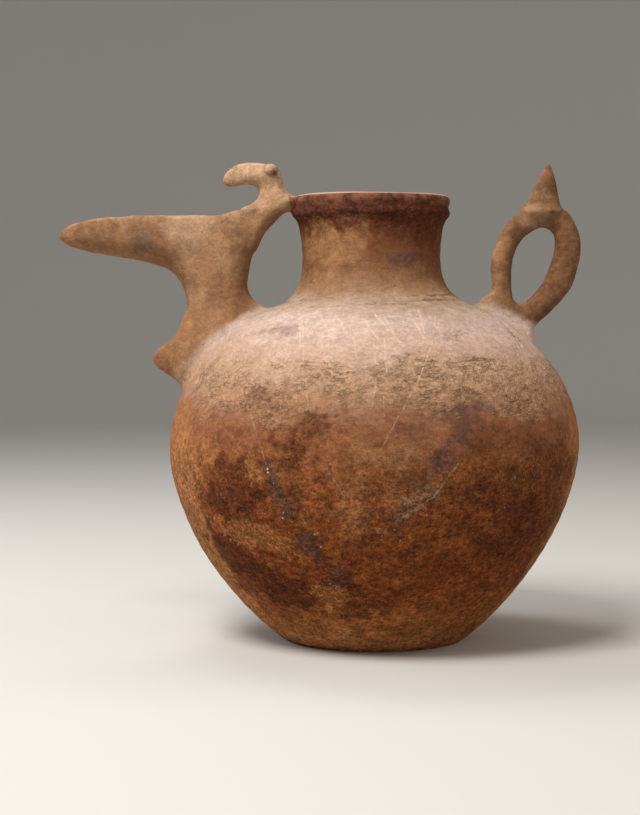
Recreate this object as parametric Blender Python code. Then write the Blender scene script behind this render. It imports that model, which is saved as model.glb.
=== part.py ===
"""A spouted vase of fired clay, hand-built in one piece, in metres with +Z up.

A round jar stands on a flat foot and has a short neck with a rolled rim. A spout like a beak
rises from its shoulder, with a knob on its front, and a bird's head ties the spout to the
rim. A ring handle with a pointed finial stands on the shoulder opposite. The jar's axis is Z,
the foot stands on Z = 0 and the spout points to -X. The potter luted every form onto the jar
before firing, so they are joined here into one hollow solid.
"""

import math

import bmesh
import bpy
import numpy as np

# The jar: radii from its axis to the outer face, and heights.
FOOT_RADIUS = 0.0690
FOOT_ROUND = 0.0030          # radius of the worn edge round the foot
FOOT_SLOPE = 38.3            # how steeply the wall leaves the foot, in degrees from level
FOOT_SWELL = 0.90            # how far that slope is held, in shares of the foot's radius
BELLY_RADIUS = 0.1536
BELLY_SWELL = 0.30           # how far under the belly the wall stays upright, in shares
BELLY_HEIGHT = 0.1453        # from the ground to the widest ring
SHOULDER_RISE = 0.1189       # half height of the ellipse that the shoulder follows
NECK_RADIUS = 0.0520         # at the neck's waist
NECK_FLARE = 0.0225          # how far the neck's foot spreads onto the shoulder
NECK_HEIGHT = 0.0810         # from the end of the shoulder to the top of the lip
WAIST = 0.48                 # the waist's height and, half that, the flare's, in neck heights
FLARE_START = 0.66           # where the neck begins to open towards the rim, the same way
RIM_OVERHANG = 0.0073        # how far the rolled rim stands out from the neck
LIP_BEAD = 0.0045            # radius of the rolled lip
COLLAR_BEAD = 0.0044         # radius of the second roll, under the lip
RIM_LEAN = 0.0024            # the rim sits this far off the axis, towards the spout
WALL = 0.0065
FLOOR = 0.0090

# The spout. Its outline is a free form, in shares of its reach.
SPOUT_REACH = 0.1732         # from the rim's edge to the tip of the beak
SPOUT_HALF_WIDTH = 0.0225
SPOUT_FOOT_HALF_WIDTH = 0.0340
SPOUT_WALL = 0.0060
SPOUT_BORE_HALF_WIDTH = 0.0165  # where the bore meets the jar
SPOUT_LOW_ANGLE = 15.0       # where its foot starts on the shoulder, in degrees up the ellipse
SPOUT_HIGH_ANGLE = 58.0      # and where it ends, close to the neck
BORE_INSET = 5.0             # the bore meets the jar this many degrees inside the foot

# The knob on the front of the spout.
KNOB_LENGTH = 0.0222
KNOB_RADIUS = 0.0110         # halfway along

# The bird's head, a free form in shares of its height over the lip.
BIRD_HEIGHT = 0.0250
BIRD_HALF_WIDTH = 0.0100
EYE_RADIUS = 0.0034
EYE_BEDDING = 0.0012         # how deep a pellet's centre lies under the side of the head

# The ring handle, a free form in shares of its height, and its finial.
HANDLE_HEIGHT = 0.1000       # from the shoulder to the top of the ring
HANDLE_HALF_BREADTH = 0.0088
HANDLE_ANGLE = 42.0          # where it stands on the shoulder, in degrees up the ellipse
FINIAL_HEIGHT = 0.0378
FINIAL_RADIUS = 0.0160

# How far a luted form is bedded in the clay that carries it.
BEDDING = 0.0045

# Fineness of the facets.
JAR_SIDES = 48
OUTER_STEPS = (11, 9, 7)     # points up the wall below the belly, up the shoulder and the neck
INNER_STEPS = (8, 7, 5)
SPOUT_SIDES = 20
SPOUT_RINGS = 27
BORE_SIDES = 16
HANDLE_SIDES = 12
HANDLE_RINGS = 30
BIRD_SIDES = 14
BIRD_RINGS = 15
SMOOTH_ANGLE = math.radians(40.0)


def clear_scene():
    """Remove every object that the new file came with."""
    for old in list(bpy.data.objects):
        bpy.data.objects.remove(old)


# Curves in the plane of the jar's axis

def bezier(start, leave, arrive, end, count):
    """Return points of the cubic curve between two ends, pulled by two handles."""
    t = np.linspace(0.0, 1.0, count)[:, None]
    start, leave, arrive, end = map(np.asarray, (start, leave, arrive, end))
    return ((1 - t) ** 3 * start + 3 * (1 - t) ** 2 * t * leave
            + 3 * (1 - t) * t ** 2 * arrive + t ** 3 * end)


def arc(centre, radius, first, last, count):
    """Return points on a circle between two angles, given in degrees."""
    turn = np.radians(np.linspace(first, last, count))
    return np.asarray(centre) + radius * np.stack([np.cos(turn), np.sin(turn)], axis=1)


def through(points, count, closed=False):
    """Return a smooth curve through rows of numbers, evenly spread along their first columns.

    Each stretch between two rows is the cubic whose slope at a row is half the step from the
    row before to the row after.
    """
    rows = np.asarray(points, dtype=float)
    if closed:
        rows = np.vstack([rows[-1], rows, rows[0], rows[1]])
    else:
        rows = np.vstack([2 * rows[0] - rows[1], rows, 2 * rows[-1] - rows[-2]])
    steps = len(rows) - 3
    fine = np.linspace(0.0, steps, steps * 24 + 1)
    index = np.minimum(fine.astype(int), steps - 1)
    t = (fine - index)[:, None]
    before, here, after, beyond = (rows[index + shift] for shift in range(4))
    slope_here = (after - before) / 2
    slope_after = (beyond - here) / 2
    curve = (here * (2 * t ** 3 - 3 * t ** 2 + 1) + slope_here * (t ** 3 - 2 * t ** 2 + t)
             + after * (3 * t ** 2 - 2 * t ** 3) + slope_after * (t ** 3 - t ** 2))
    travel = np.linalg.norm(np.diff(curve[:, :4], axis=0), axis=1)
    run = np.concatenate([[0.0], np.cumsum(travel)])
    stops = np.linspace(0.0, run[-1], count + 1 if closed else count)
    result = np.stack([np.interp(stops, run, column) for column in curve.T], axis=1)
    return result[:-1] if closed else result


def inset(points, distance):
    """Move a profile that climbs anticlockwise inwards by a distance, square to itself."""
    slope = np.gradient(points, axis=0)
    slope /= np.linalg.norm(slope, axis=1)[:, None]
    return points + distance * np.stack([-slope[:, 1], slope[:, 0]], axis=1)


# The jar's own geometry

def shoulder_end_angle():
    """Return the angle up the shoulder's ellipse at which the neck begins."""
    return math.degrees(math.acos((NECK_RADIUS + NECK_FLARE) / BELLY_RADIUS))


def shoulder_point(angle, depth=0.0):
    """Return radius and height on the shoulder at an angle, and a depth under its face."""
    turn = math.radians(angle)
    point = np.array([BELLY_RADIUS * math.cos(turn), BELLY_HEIGHT + SHOULDER_RISE * math.sin(turn)])
    outward = np.array([math.cos(turn) / BELLY_RADIUS, math.sin(turn) / SHOULDER_RISE])
    return point - depth * outward / np.linalg.norm(outward)


def rim_height():
    """Return the height of the top of the lip."""
    return shoulder_point(shoulder_end_angle())[1] + NECK_HEIGHT


def wall_profile(steps):
    """Return radius and height up the outer wall, from the foot to the neck's waist."""
    belly = np.array([BELLY_RADIUS, BELLY_HEIGHT])
    foot = np.array([FOOT_RADIUS, 0.0])
    slope = math.radians(FOOT_SLOPE)
    rising = FOOT_SWELL * FOOT_RADIUS * np.array([math.cos(slope), math.sin(slope)])
    upright = np.array([0.0, BELLY_SWELL * BELLY_HEIGHT])
    lower = bezier(foot, foot + rising, belly - upright, belly, steps[0])
    end_angle = shoulder_end_angle()
    shoulder = np.array([shoulder_point(a) for a in np.linspace(0.0, end_angle, steps[1])])
    turn = math.radians(end_angle)
    leaving = np.array([-BELLY_RADIUS * math.sin(turn), SHOULDER_RISE * math.cos(turn)])
    leaving /= np.linalg.norm(leaving)
    waist = np.array([NECK_RADIUS, shoulder[-1][1] + WAIST * NECK_HEIGHT])
    below_waist = waist - np.array([0.0, WAIST / 2 * NECK_HEIGHT])
    neck = bezier(shoulder[-1], shoulder[-1] + NECK_FLARE * leaving, below_waist, waist, steps[2])
    return np.vstack([lower, shoulder[1:], neck[1:]])


def outer_profile():
    """Return the jar's whole outline, from the foot's centre over the lip to the axis."""
    top = rim_height()
    wall = wall_profile(OUTER_STEPS)
    rim_radius = NECK_RADIUS + RIM_OVERHANG
    foot = arc([FOOT_RADIUS - FOOT_ROUND, FOOT_ROUND], FOOT_ROUND, -90.0, -35.0, 3)
    collar_centre = [rim_radius - COLLAR_BEAD, top - 2 * LIP_BEAD - COLLAR_BEAD]
    lip_centre = [rim_radius - LIP_BEAD, top - LIP_BEAD]
    flare_foot = [NECK_RADIUS + RIM_OVERHANG / 5, top - (1 - FLARE_START) * NECK_HEIGHT]
    flare = through([wall[-1], flare_foot], 3)
    collar = arc(collar_centre, COLLAR_BEAD, -75.0, 50.0, 5)
    lip = arc(lip_centre, LIP_BEAD, -45.0, 120.0, 6)
    closing = [[0.0, lip[-1][1] - FOOT_ROUND]]
    return np.vstack([[[0.0, 0.0]], foot, wall[1:], flare[1:], collar, lip, closing])


def inner_profile():
    """Return the outline of the space inside the jar, carried on up through the mouth."""
    top = rim_height()
    wall = inset(wall_profile(INNER_STEPS), WALL)
    corner = [np.interp(FLOOR, wall[:, 1], wall[:, 0]) - FOOT_ROUND, FLOOR]
    wall = wall[wall[:, 1] > FLOOR + FOOT_ROUND]
    mouth_radius = NECK_RADIUS + RIM_OVERHANG - 2 * LIP_BEAD
    throat = [[wall[-1][0], top - (1 - FLARE_START) * NECK_HEIGHT], [mouth_radius, top - 2 * LIP_BEAD]]
    lip = arc([mouth_radius + LIP_BEAD, top - LIP_BEAD], LIP_BEAD, 180.0, 130.0, 3)
    above = [[mouth_radius + LIP_BEAD, top + LIP_BEAD], [0.0, top + LIP_BEAD]]
    return np.vstack([[[0.0, FLOOR]], [corner], wall, throat, lip, above])


def lean(height):
    """Return how far the neck has moved off the axis at a height."""
    start = shoulder_point(shoulder_end_angle())[1]
    share = np.clip((height - start) / (rim_height() - start), 0.0, 1.0)
    return -RIM_LEAN * math.sqrt(share)


# Solids

def mesh_object(name, vertices, faces):
    """Make an object from points and faces, with its faces turned outwards."""
    mesh = bpy.data.meshes.new(name)
    mesh.from_pydata([tuple(v) for v in vertices], [], [tuple(f) for f in faces])
    work = bmesh.new()
    work.from_mesh(mesh)
    bmesh.ops.recalc_face_normals(work, faces=work.faces)
    work.to_mesh(mesh)
    work.free()
    made = bpy.data.objects.new(name, mesh)
    bpy.context.scene.collection.objects.link(made)
    return made


def turned(name, profile, sides):
    """Turn a profile, which starts and ends on the axis, round the jar's leaning axis."""
    rings = profile[1:-1]
    turn = np.linspace(0.0, 2 * math.pi, sides, endpoint=False)
    vertices = [[lean(z) + r * math.cos(a), r * math.sin(a), z] for r, z in rings for a in turn]
    vertices.append([lean(profile[0][1]), 0.0, profile[0][1]])
    vertices.append([lean(profile[-1][1]), 0.0, profile[-1][1]])
    low, high = len(vertices) - 2, len(vertices) - 1
    last = (len(rings) - 1) * sides
    faces = []
    for side in range(sides):
        beside = (side + 1) % sides
        faces.append([low, beside, side])
        faces.append([high, last + side, last + beside])
        for ring in range(len(rings) - 1):
            row = ring * sides
            faces.append([row + side, row + beside, row + sides + beside, row + sides + side])
    return mesh_object(name, vertices, faces)


def lofted(name, sections, sides, squareness=None, closed=False):
    """Skin rounded sections that each reach from a front point to a back point.

    A section's columns are the front point's x and z, the back point's x and z, and the half
    width along y. Squareness, one value a section, flattens the half at the back point.
    """
    turn = np.linspace(0.0, 2 * math.pi, sides, endpoint=False)
    along, across = np.cos(turn), np.sin(turn)
    vertices = []
    for row, section in enumerate(sections):
        front, back, half_width = section[:2], section[2:4], section[4]
        power = 1.0 if squareness is None else 1.0 - squareness[row]
        bend = np.where(along < 0.0, power, 1.0)
        share = np.sign(along) * np.abs(along) ** bend
        breadth = np.sign(across) * np.abs(across) ** bend * half_width
        middle, reach = (front + back) / 2, (front - back) / 2
        for s, y in zip(share, breadth):
            x, z = middle + s * reach
            vertices.append([x, y, z])
    count = len(sections)
    faces = []
    for ring in range(count if closed else count - 1):
        row, beyond = ring * sides, ((ring + 1) % count) * sides
        for side in range(sides):
            beside = (side + 1) % sides
            faces.append([row + side, row + beside, beyond + beside, beyond + side])
    if not closed:
        faces.append(list(range(sides)))
        faces.append([(count - 1) * sides + side for side in range(sides)])
    return mesh_object(name, vertices, faces)


def boolean(target, other, operation):
    """Join another solid to the target, or cut it out, and keep only the target."""
    modifier = target.modifiers.new(operation.title(), "BOOLEAN")
    modifier.operation = operation
    modifier.solver = "EXACT"
    modifier.object = other
    with bpy.context.temp_override(object=target, active_object=target):
        bpy.ops.object.modifier_apply(modifier=modifier.name)
    bpy.data.objects.remove(other)


# The spout

def rim_edge():
    """Return the point on the rim's edge that faces the spout, and the spout is set out from."""
    return np.array([-(NECK_RADIUS + RIM_OVERHANG) - RIM_LEAN, rim_height()])


def spout_share(u, v):
    """Place a point given in shares of the spout's reach, outwards and up from the rim's edge."""
    return rim_edge() + SPOUT_REACH * np.array([-u, v])


def on_shoulder(angle, depth, side):
    """Return a point in the shoulder, on the side that side's sign gives, as x and z."""
    radius, height = shoulder_point(angle, depth)
    return np.array([side * radius, height])


# Shares of the reach: the front or lower edge, the back or upper edge, and the half width as
# a share of the duct's. The sections fan round from level in the duct to upright in the beak.
SPOUT_SECTIONS = [
    (0.477, -0.758, 0.117, -0.472, 1.26),
    (0.468, -0.654, 0.146, -0.457, 1.14),
    (0.456, -0.556, 0.171, -0.432, 1.06),
    (0.450, -0.469, 0.186, -0.395, 1.02),
    (0.462, -0.404, 0.183, -0.348, 1.00),
    (0.488, -0.357, 0.171, -0.279, 1.00),
    (0.518, -0.327, 0.146, -0.192, 1.00),
    (0.544, -0.312, 0.140, -0.100, 1.00),
    (0.568, -0.303, 0.198, -0.056, 1.00),
    (0.591, -0.296, 0.290, -0.077, 1.00),
    (0.637, -0.284, 0.435, -0.079, 0.98),
    (0.706, -0.270, 0.614, -0.080, 0.93),
    (0.798, -0.256, 0.747, -0.089, 0.87),
    (0.879, -0.240, 0.856, -0.101, 0.78),
    (0.943, -0.221, 0.931, -0.120, 0.62),
    (0.983, -0.199, 0.977, -0.144, 0.40),
    (1.000, -0.183, 0.999, -0.165, 0.16),
]
DUCT_SECTIONS = 8            # the first sections are a closed duct, the others an open trough
BEAK_END = 2                 # the last sections are the solid tip
LIP_SQUARENESS = 0.60        # how flat the trough's sides and lips are, from 0 for an ellipse


def spout_rows():
    """Return the spout's sections in metres, from under the shoulder's face to the tip."""
    low = on_shoulder(SPOUT_LOW_ANGLE, BEDDING, -1)
    high = on_shoulder(SPOUT_HIGH_ANGLE, BEDDING, -1)
    rows = [[*low, *high, SPOUT_FOOT_HALF_WIDTH]]
    for front_u, front_v, back_u, back_v, share in SPOUT_SECTIONS:
        front, back = spout_share(front_u, front_v), spout_share(back_u, back_v)
        rows.append([*front, *back, share * SPOUT_HALF_WIDTH])
    return np.array(rows)


def with_squareness(rows, first_open):
    """Add a column that squares the sections up where the duct opens into the trough."""
    opening = np.clip((np.arange(len(rows)) - first_open + 1.5) / 2.0, 0.0, 1.0)
    return np.column_stack([rows, LIP_SQUARENESS * opening])


def spout_body():
    """Make the outside of the spout, round in the duct and flat-topped along the trough."""
    rows = with_squareness(spout_rows(), DUCT_SECTIONS + 1)
    fine = through(rows, SPOUT_RINGS)
    return lofted("spout", fine[:, :5], SPOUT_SIDES, np.clip(fine[:, 5], 0.0, LIP_SQUARENESS))


def spout_bore():
    """Make the space inside the spout: a duct from the jar, then a trough open above."""
    rows = []
    low, high = SPOUT_LOW_ANGLE + BORE_INSET, SPOUT_HIGH_ANGLE - BORE_INSET
    for depth in (5 * WALL, 2 * WALL):
        rows.append([*on_shoulder(low, depth, -1), *on_shoulder(high, depth, -1),
                     SPOUT_BORE_HALF_WIDTH])
    for index, row in enumerate(spout_rows()[1:-BEAK_END]):
        front, back, half_width = row[:2], row[2:4], row[4]
        inward = (back - front) / np.linalg.norm(back - front)
        if index < DUCT_SECTIONS:
            roof = back - SPOUT_WALL * inward
        else:
            roof = back + np.array([0.0, 2 * SPOUT_WALL])
        rows.append([*(front + SPOUT_WALL * inward), *roof, half_width - SPOUT_WALL])
    fine = through(with_squareness(np.array(rows), DUCT_SECTIONS + 2), SPOUT_RINGS - 3)
    return lofted("bore", fine[:, :5], BORE_SIDES, np.clip(fine[:, 5], 0.0, LIP_SQUARENESS))


# Stations along the knob: shares of its length from the spout to the tip, and of its radius.
KNOB_STATIONS = [(-0.90, 2.80), (-0.35, 2.75), (0.00, 2.45), (0.11, 1.98), (0.32, 1.44),
                 (0.61, 1.00), (0.80, 0.72), (0.90, 0.50), (0.97, 0.30), (1.00, 0.12)]
KNOB_FOOT = (0.470, -0.698)  # on the front of the spout, in shares of its reach


def knob():
    """Make the knob that stands out level from the front of the spout."""
    root = spout_share(*KNOB_FOOT)
    rows = []
    for travel, swell in KNOB_STATIONS:
        x, radius = root[0] - travel * KNOB_LENGTH, swell * KNOB_RADIUS
        rows.append([x, root[1] - radius, x, root[1] + radius, 0.85 * radius])
    return lofted("knob", np.array(rows), HANDLE_SIDES)


# The bird: back of the neck and crown, then throat and chin, and the half width, all in shares
# of its height over the lip. It starts bedded in the spout's back and passes over to the rim.
BIRD_SECTIONS = [
    (1.05, -1.65, 1.53, -1.45, 1.20),
    (0.81, -1.19, 1.45, -1.01, 1.40),
    (0.51, -0.82, 1.37, -0.61, 1.45),
    (0.23, -0.55, 1.31, -0.37, 1.40),
    (-0.19, -0.41, 1.21, -0.23, 1.30),
    (-0.21, -0.11, 1.07, -0.13, 1.25),
    (0.07, 0.09, 0.98, 0.03, 1.15),
    (0.20, 0.29, 0.98, 0.17, 1.05),
    (0.30, 0.63, 1.07, 0.26, 1.00),
    (0.42, 0.91, 1.19, 0.30, 1.03),
    (0.63, 0.98, 1.29, 0.32, 1.00),
    (1.01, 1.00, 1.45, 0.31, 0.88),
    (1.46, 0.97, 1.61, 0.28, 0.70),
    (1.77, 0.84, 1.73, 0.26, 0.54),
    (1.99, 0.63, 1.87, 0.26, 0.38),
    (2.05, 0.45, 1.97, 0.32, 0.16),
]
EYE_PLACE = (0.60, 0.74)


def bird_point(u, v):
    """Place a point given in shares of the bird's height, out and up from the rim's edge."""
    return rim_edge() + BIRD_HEIGHT * np.array([-u, v])


def bird():
    """Make the bird's neck and head, which looks down along the spout."""
    rows = []
    for back_u, back_v, front_u, front_v, share in BIRD_SECTIONS:
        rows.append([*bird_point(back_u, back_v), *bird_point(front_u, front_v),
                     share * BIRD_HALF_WIDTH])
    return lofted("bird", through(rows, BIRD_RINGS), BIRD_SIDES)


def eye(side):
    """Make one of the two pellets of clay pressed on for the bird's eyes."""
    centre = bird_point(*EYE_PLACE)
    work = bmesh.new()
    bmesh.ops.create_uvsphere(work, u_segments=10, v_segments=6, radius=EYE_RADIUS)
    for vertex in work.verts:
        x, y, z = vertex.co
        vertex.co = (centre[0] + x, side * (BIRD_HALF_WIDTH - EYE_BEDDING) + y, centre[1] + z)
    mesh = bpy.data.meshes.new("eye")
    work.to_mesh(mesh)
    work.free()
    made = bpy.data.objects.new("eye", mesh)
    bpy.context.scene.collection.objects.link(made)
    return made


# The ring handle: outer edge, then the edge of the hole, in shares of its height, outwards and
# up from where it stands on the shoulder. It goes up the arm by the neck and down the other.
HANDLE_SECTIONS = [
    (-0.021, -0.069, -0.048, 0.253),
    (-0.221, 0.081, -0.089, 0.281),
    (-0.385, 0.262, -0.105, 0.346),
    (-0.272, 0.356, -0.112, 0.441),
    (-0.275, 0.521, -0.107, 0.551),
    (-0.243, 0.681, -0.081, 0.646),
    (-0.177, 0.816, -0.031, 0.731),
    (-0.071, 0.921, 0.029, 0.781),
    (0.104, 0.971, 0.109, 0.813),
    (0.289, 0.951, 0.179, 0.786),
    (0.376, 0.826, 0.205, 0.731),
    (0.405, 0.671, 0.202, 0.641),
    (0.385, 0.533, 0.177, 0.551),
    (0.326, 0.356, 0.125, 0.416),
    (0.189, 0.196, 0.054, 0.326),
    (0.074, 0.081, -0.006, 0.269),
    (0.047, -0.069, -0.026, 0.256),
]
FINIAL_FOOT = (0.110, 0.920)
FINIAL_LEAN = 0.048          # how far the tip leans out, in shares of the handle's height

# Stations up the finial: shares of its height and of its radius.
FINIAL_STATIONS = [(-0.12, 0.80), (0.04, 1.06), (0.16, 0.88), (0.39, 0.655), (0.62, 0.465),
                   (0.84, 0.27), (0.96, 0.14), (1.00, 0.05)]


def handle_point(u, v):
    """Place a point given in shares of the handle's height, from where it stands."""
    foot = on_shoulder(HANDLE_ANGLE, 0.0, 1)
    return foot + HANDLE_HEIGHT * np.array([u, v])


def handle():
    """Make the ring, with its lower part bedded in the shoulder."""
    rows = []
    for outer_u, outer_v, inner_u, inner_v in HANDLE_SECTIONS:
        rows.append([*handle_point(outer_u, outer_v), *handle_point(inner_u, inner_v),
                     HANDLE_HALF_BREADTH])
    rings = through(rows, HANDLE_RINGS, closed=True)
    return lofted("handle", rings, HANDLE_SIDES, closed=True)


def finial():
    """Make the pointed finial on top of the ring, which leans away from the neck a little."""
    foot = handle_point(*FINIAL_FOOT)
    tip = foot + np.array([FINIAL_LEAN * HANDLE_HEIGHT, FINIAL_HEIGHT])
    rows = []
    for travel, swell in FINIAL_STATIONS:
        x, z = foot + travel * (tip - foot)
        radius = swell * FINIAL_RADIUS
        rows.append([x - radius, z, x + radius, z, 0.86 * radius])
    return lofted("finial", np.array(rows), HANDLE_SIDES)


# Material and assembly

def fired_clay():
    """Return the material of weathered, buff to brown fired clay."""
    material = bpy.data.materials.new("fired_clay")
    material.use_nodes = True
    shader = material.node_tree.nodes["Principled BSDF"]
    shader.inputs["Base Color"].default_value = (0.242, 0.133, 0.087, 1.0)
    shader.inputs["Roughness"].default_value = 0.85
    shader.inputs["Metallic"].default_value = 0.0
    return material


def build():
    """Join every form to the jar, hollow it and give it its material."""
    clear_scene()
    vase = turned("spouted_vase", outer_profile(), JAR_SIDES)
    for piece in (spout_body(), knob(), bird(), eye(-1), eye(1), handle(), finial()):
        boolean(vase, piece, "UNION")
    boolean(vase, turned("space", inner_profile(), JAR_SIDES), "DIFFERENCE")
    boolean(vase, spout_bore(), "DIFFERENCE")
    vase.data.materials.clear()
    vase.data.materials.append(fired_clay())
    vase.data.shade_smooth()
    vase.data.set_sharp_from_angle(angle=SMOOTH_ANGLE)


build()
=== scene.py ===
# %% [markdown]
# # A spouted vase of fired clay
#
# This lesson builds the finished surface of a hand-built vessel: a round jar with a short
# neck, a beak spout tied to the rim by a bird's head, and a ring handle with a pointed finial.
# It is one piece of coarse clay, smoothed by hand, fired and then buried for a very long time.
# The exact solid comes first, as a frame, and everything below is fitted to it.

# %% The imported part
import math

import bmesh
import bpy
import numpy as np
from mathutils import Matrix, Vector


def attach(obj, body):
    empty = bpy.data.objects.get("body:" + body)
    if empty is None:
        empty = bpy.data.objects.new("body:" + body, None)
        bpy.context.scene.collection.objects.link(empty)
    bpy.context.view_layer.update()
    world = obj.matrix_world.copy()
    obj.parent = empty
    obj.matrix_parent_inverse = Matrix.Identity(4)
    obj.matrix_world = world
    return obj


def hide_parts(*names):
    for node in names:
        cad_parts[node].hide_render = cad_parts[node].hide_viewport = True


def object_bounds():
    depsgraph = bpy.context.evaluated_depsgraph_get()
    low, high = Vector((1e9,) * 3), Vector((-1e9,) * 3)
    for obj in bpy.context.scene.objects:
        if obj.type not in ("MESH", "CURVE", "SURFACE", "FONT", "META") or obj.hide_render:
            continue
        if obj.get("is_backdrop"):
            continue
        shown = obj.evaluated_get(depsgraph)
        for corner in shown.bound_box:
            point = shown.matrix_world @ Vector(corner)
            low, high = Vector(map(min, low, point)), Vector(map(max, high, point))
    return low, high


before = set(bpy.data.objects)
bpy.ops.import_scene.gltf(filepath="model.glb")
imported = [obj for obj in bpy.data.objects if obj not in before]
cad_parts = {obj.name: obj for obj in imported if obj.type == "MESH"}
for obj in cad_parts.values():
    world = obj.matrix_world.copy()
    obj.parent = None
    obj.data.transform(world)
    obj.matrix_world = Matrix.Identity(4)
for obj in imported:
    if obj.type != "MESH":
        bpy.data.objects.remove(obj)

cad_low, cad_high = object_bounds()
print("the solid measures", [round(1000 * side, 1) for side in cad_high - cad_low], "mm")

# %% [markdown]
# ## Sizes
#
# The jar is a turned form, so a few radii and heights describe it. The spout, the bird and the
# handle are free forms, and their outlines are given in shares of their own lengths. These are
# the same values that the solid was made from, which keeps the fine surface on top of it.

# %% Sizes of the jar, in metres
MM = 0.001
FOOT_RADIUS = 0.0690
FOOT_ROUND = 0.0030
FOOT_SLOPE = 38.3            # degrees
FOOT_SWELL = 0.90            # share of the foot's radius
BELLY_RADIUS = 0.1536
BELLY_SWELL = 0.30           # share of the belly's height
BELLY_HEIGHT = 0.1453
SHOULDER_RISE = 0.1189
NECK_RADIUS = 0.0520
NECK_FLARE = 0.0225
NECK_HEIGHT = 0.0810
WAIST = 0.48                 # share of the neck's height
FLARE_START = 0.66
RIM_OVERHANG = 0.0073
LIP_BEAD = 0.0045
COLLAR_BEAD = 0.0044
RIM_LEAN = 0.0024
WALL = 0.0065
FLOOR = 0.0090
BEDDING = 0.0045             # how deep a luted form sits in the clay that carries it

# %% [markdown]
# ## Curves
#
# Three small tools draw every outline: a cubic curve with two handles, an arc, and a smooth
# curve through chosen points. Each works on whole arrays and returns a row for each point.

# %% Curve tools
def bezier(start, leave, arrive, end, count):
    """Weights (1-t)^3, 3(1-t)^2 t, 3(1-t) t^2 and t^3 on the four points, t from 0 to 1."""
    t = np.linspace(0.0, 1.0, count)[:, None]
    start, leave, arrive, end = map(np.asarray, (start, leave, arrive, end))
    return ((1 - t) ** 3 * start + 3 * (1 - t) ** 2 * t * leave
            + 3 * (1 - t) * t ** 2 * arrive + t ** 3 * end)


def arc(centre, radius, first, last, count):
    """Centre plus radius times cosine and sine, between two angles in degrees."""
    turn = np.radians(np.linspace(first, last, count))
    return np.asarray(centre) + radius * np.stack([np.cos(turn), np.sin(turn)], axis=1)


def through(points, count, closed=False):
    """Between two rows, the cubic whose slope at a row is half the step from row to row.

    The result is read off at even distances along the curve of the first four columns.
    """
    rows = np.asarray(points, dtype=float)
    if closed:
        rows = np.vstack([rows[-1], rows, rows[0], rows[1]])
    else:
        rows = np.vstack([2 * rows[0] - rows[1], rows, 2 * rows[-1] - rows[-2]])
    steps = len(rows) - 3
    fine = np.linspace(0.0, steps, steps * 24 + 1)
    index = np.minimum(fine.astype(int), steps - 1)
    t = (fine - index)[:, None]
    before, here, after, beyond = (rows[index + shift] for shift in range(4))
    slope_here = (after - before) / 2
    slope_after = (beyond - here) / 2
    curve = (here * (2 * t ** 3 - 3 * t ** 2 + 1) + slope_here * (t ** 3 - 2 * t ** 2 + t)
             + after * (3 * t ** 2 - 2 * t ** 3) + slope_after * (t ** 3 - t ** 2))
    travel = np.linalg.norm(np.diff(curve[:, :4], axis=0), axis=1)
    run = np.concatenate([[0.0], np.cumsum(travel)])
    stops = np.linspace(0.0, run[-1], count + 1 if closed else count)
    result = np.stack([np.interp(stops, run, column) for column in curve.T], axis=1)
    return result[:-1] if closed else result


def inset(points, distance):
    """Each point moves by the distance along the normal of the line through its neighbours."""
    slope = np.gradient(points, axis=0)
    slope /= np.linalg.norm(slope, axis=1)[:, None]
    return points + distance * np.stack([-slope[:, 1], slope[:, 0]], axis=1)


# %% [markdown]
# ## The jar's outline
#
# A potter pulls the wall up from a flat disc: the lower wall swings out to the belly, the
# shoulder closes in over an ellipse, and the neck rises from it with a soft flare at its foot.
# The same line, moved inwards by the wall's thickness, gives the space inside.

# %% The jar's outline
def shoulder_end_angle():
    """The angle whose cosine is the radius of the neck's foot over that of the belly."""
    return math.degrees(math.acos((NECK_RADIUS + NECK_FLARE) / BELLY_RADIUS))


def shoulder_point(angle, depth=0.0):
    """Belly radius times cosine, rise times sine, moved in square to the ellipse by a depth."""
    turn = np.radians(np.asarray(angle, dtype=float))
    point = np.stack([BELLY_RADIUS * np.cos(turn), BELLY_HEIGHT + SHOULDER_RISE * np.sin(turn)], -1)
    outward = np.stack([np.cos(turn) / BELLY_RADIUS, np.sin(turn) / SHOULDER_RISE], -1)
    return point - depth * outward / np.linalg.norm(outward, axis=-1, keepdims=True)


RIM_HEIGHT = shoulder_point(shoulder_end_angle())[1] + NECK_HEIGHT
OUTER_STEPS = (70, 56, 40)


def wall_profile(steps):
    """A cubic up to the belly, an arc of the shoulder's ellipse, and a cubic up the neck."""
    belly = np.array([BELLY_RADIUS, BELLY_HEIGHT])
    foot = np.array([FOOT_RADIUS, 0.0])
    slope = math.radians(FOOT_SLOPE)
    rising = FOOT_SWELL * FOOT_RADIUS * np.array([math.cos(slope), math.sin(slope)])
    upright = np.array([0.0, BELLY_SWELL * BELLY_HEIGHT])
    lower = bezier(foot, foot + rising, belly - upright, belly, steps[0])
    end_angle = shoulder_end_angle()
    shoulder = shoulder_point(np.linspace(0.0, end_angle, steps[1]))
    turn = math.radians(end_angle)
    leaving = np.array([-BELLY_RADIUS * math.sin(turn), SHOULDER_RISE * math.cos(turn)])
    leaving /= np.linalg.norm(leaving)
    waist = np.array([NECK_RADIUS, shoulder[-1][1] + WAIST * NECK_HEIGHT])
    below_waist = waist - np.array([0.0, WAIST / 2 * NECK_HEIGHT])
    neck = bezier(shoulder[-1], shoulder[-1] + NECK_FLARE * leaving, below_waist, waist, steps[2])
    return np.vstack([lower, shoulder[1:], neck[1:]])


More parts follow.
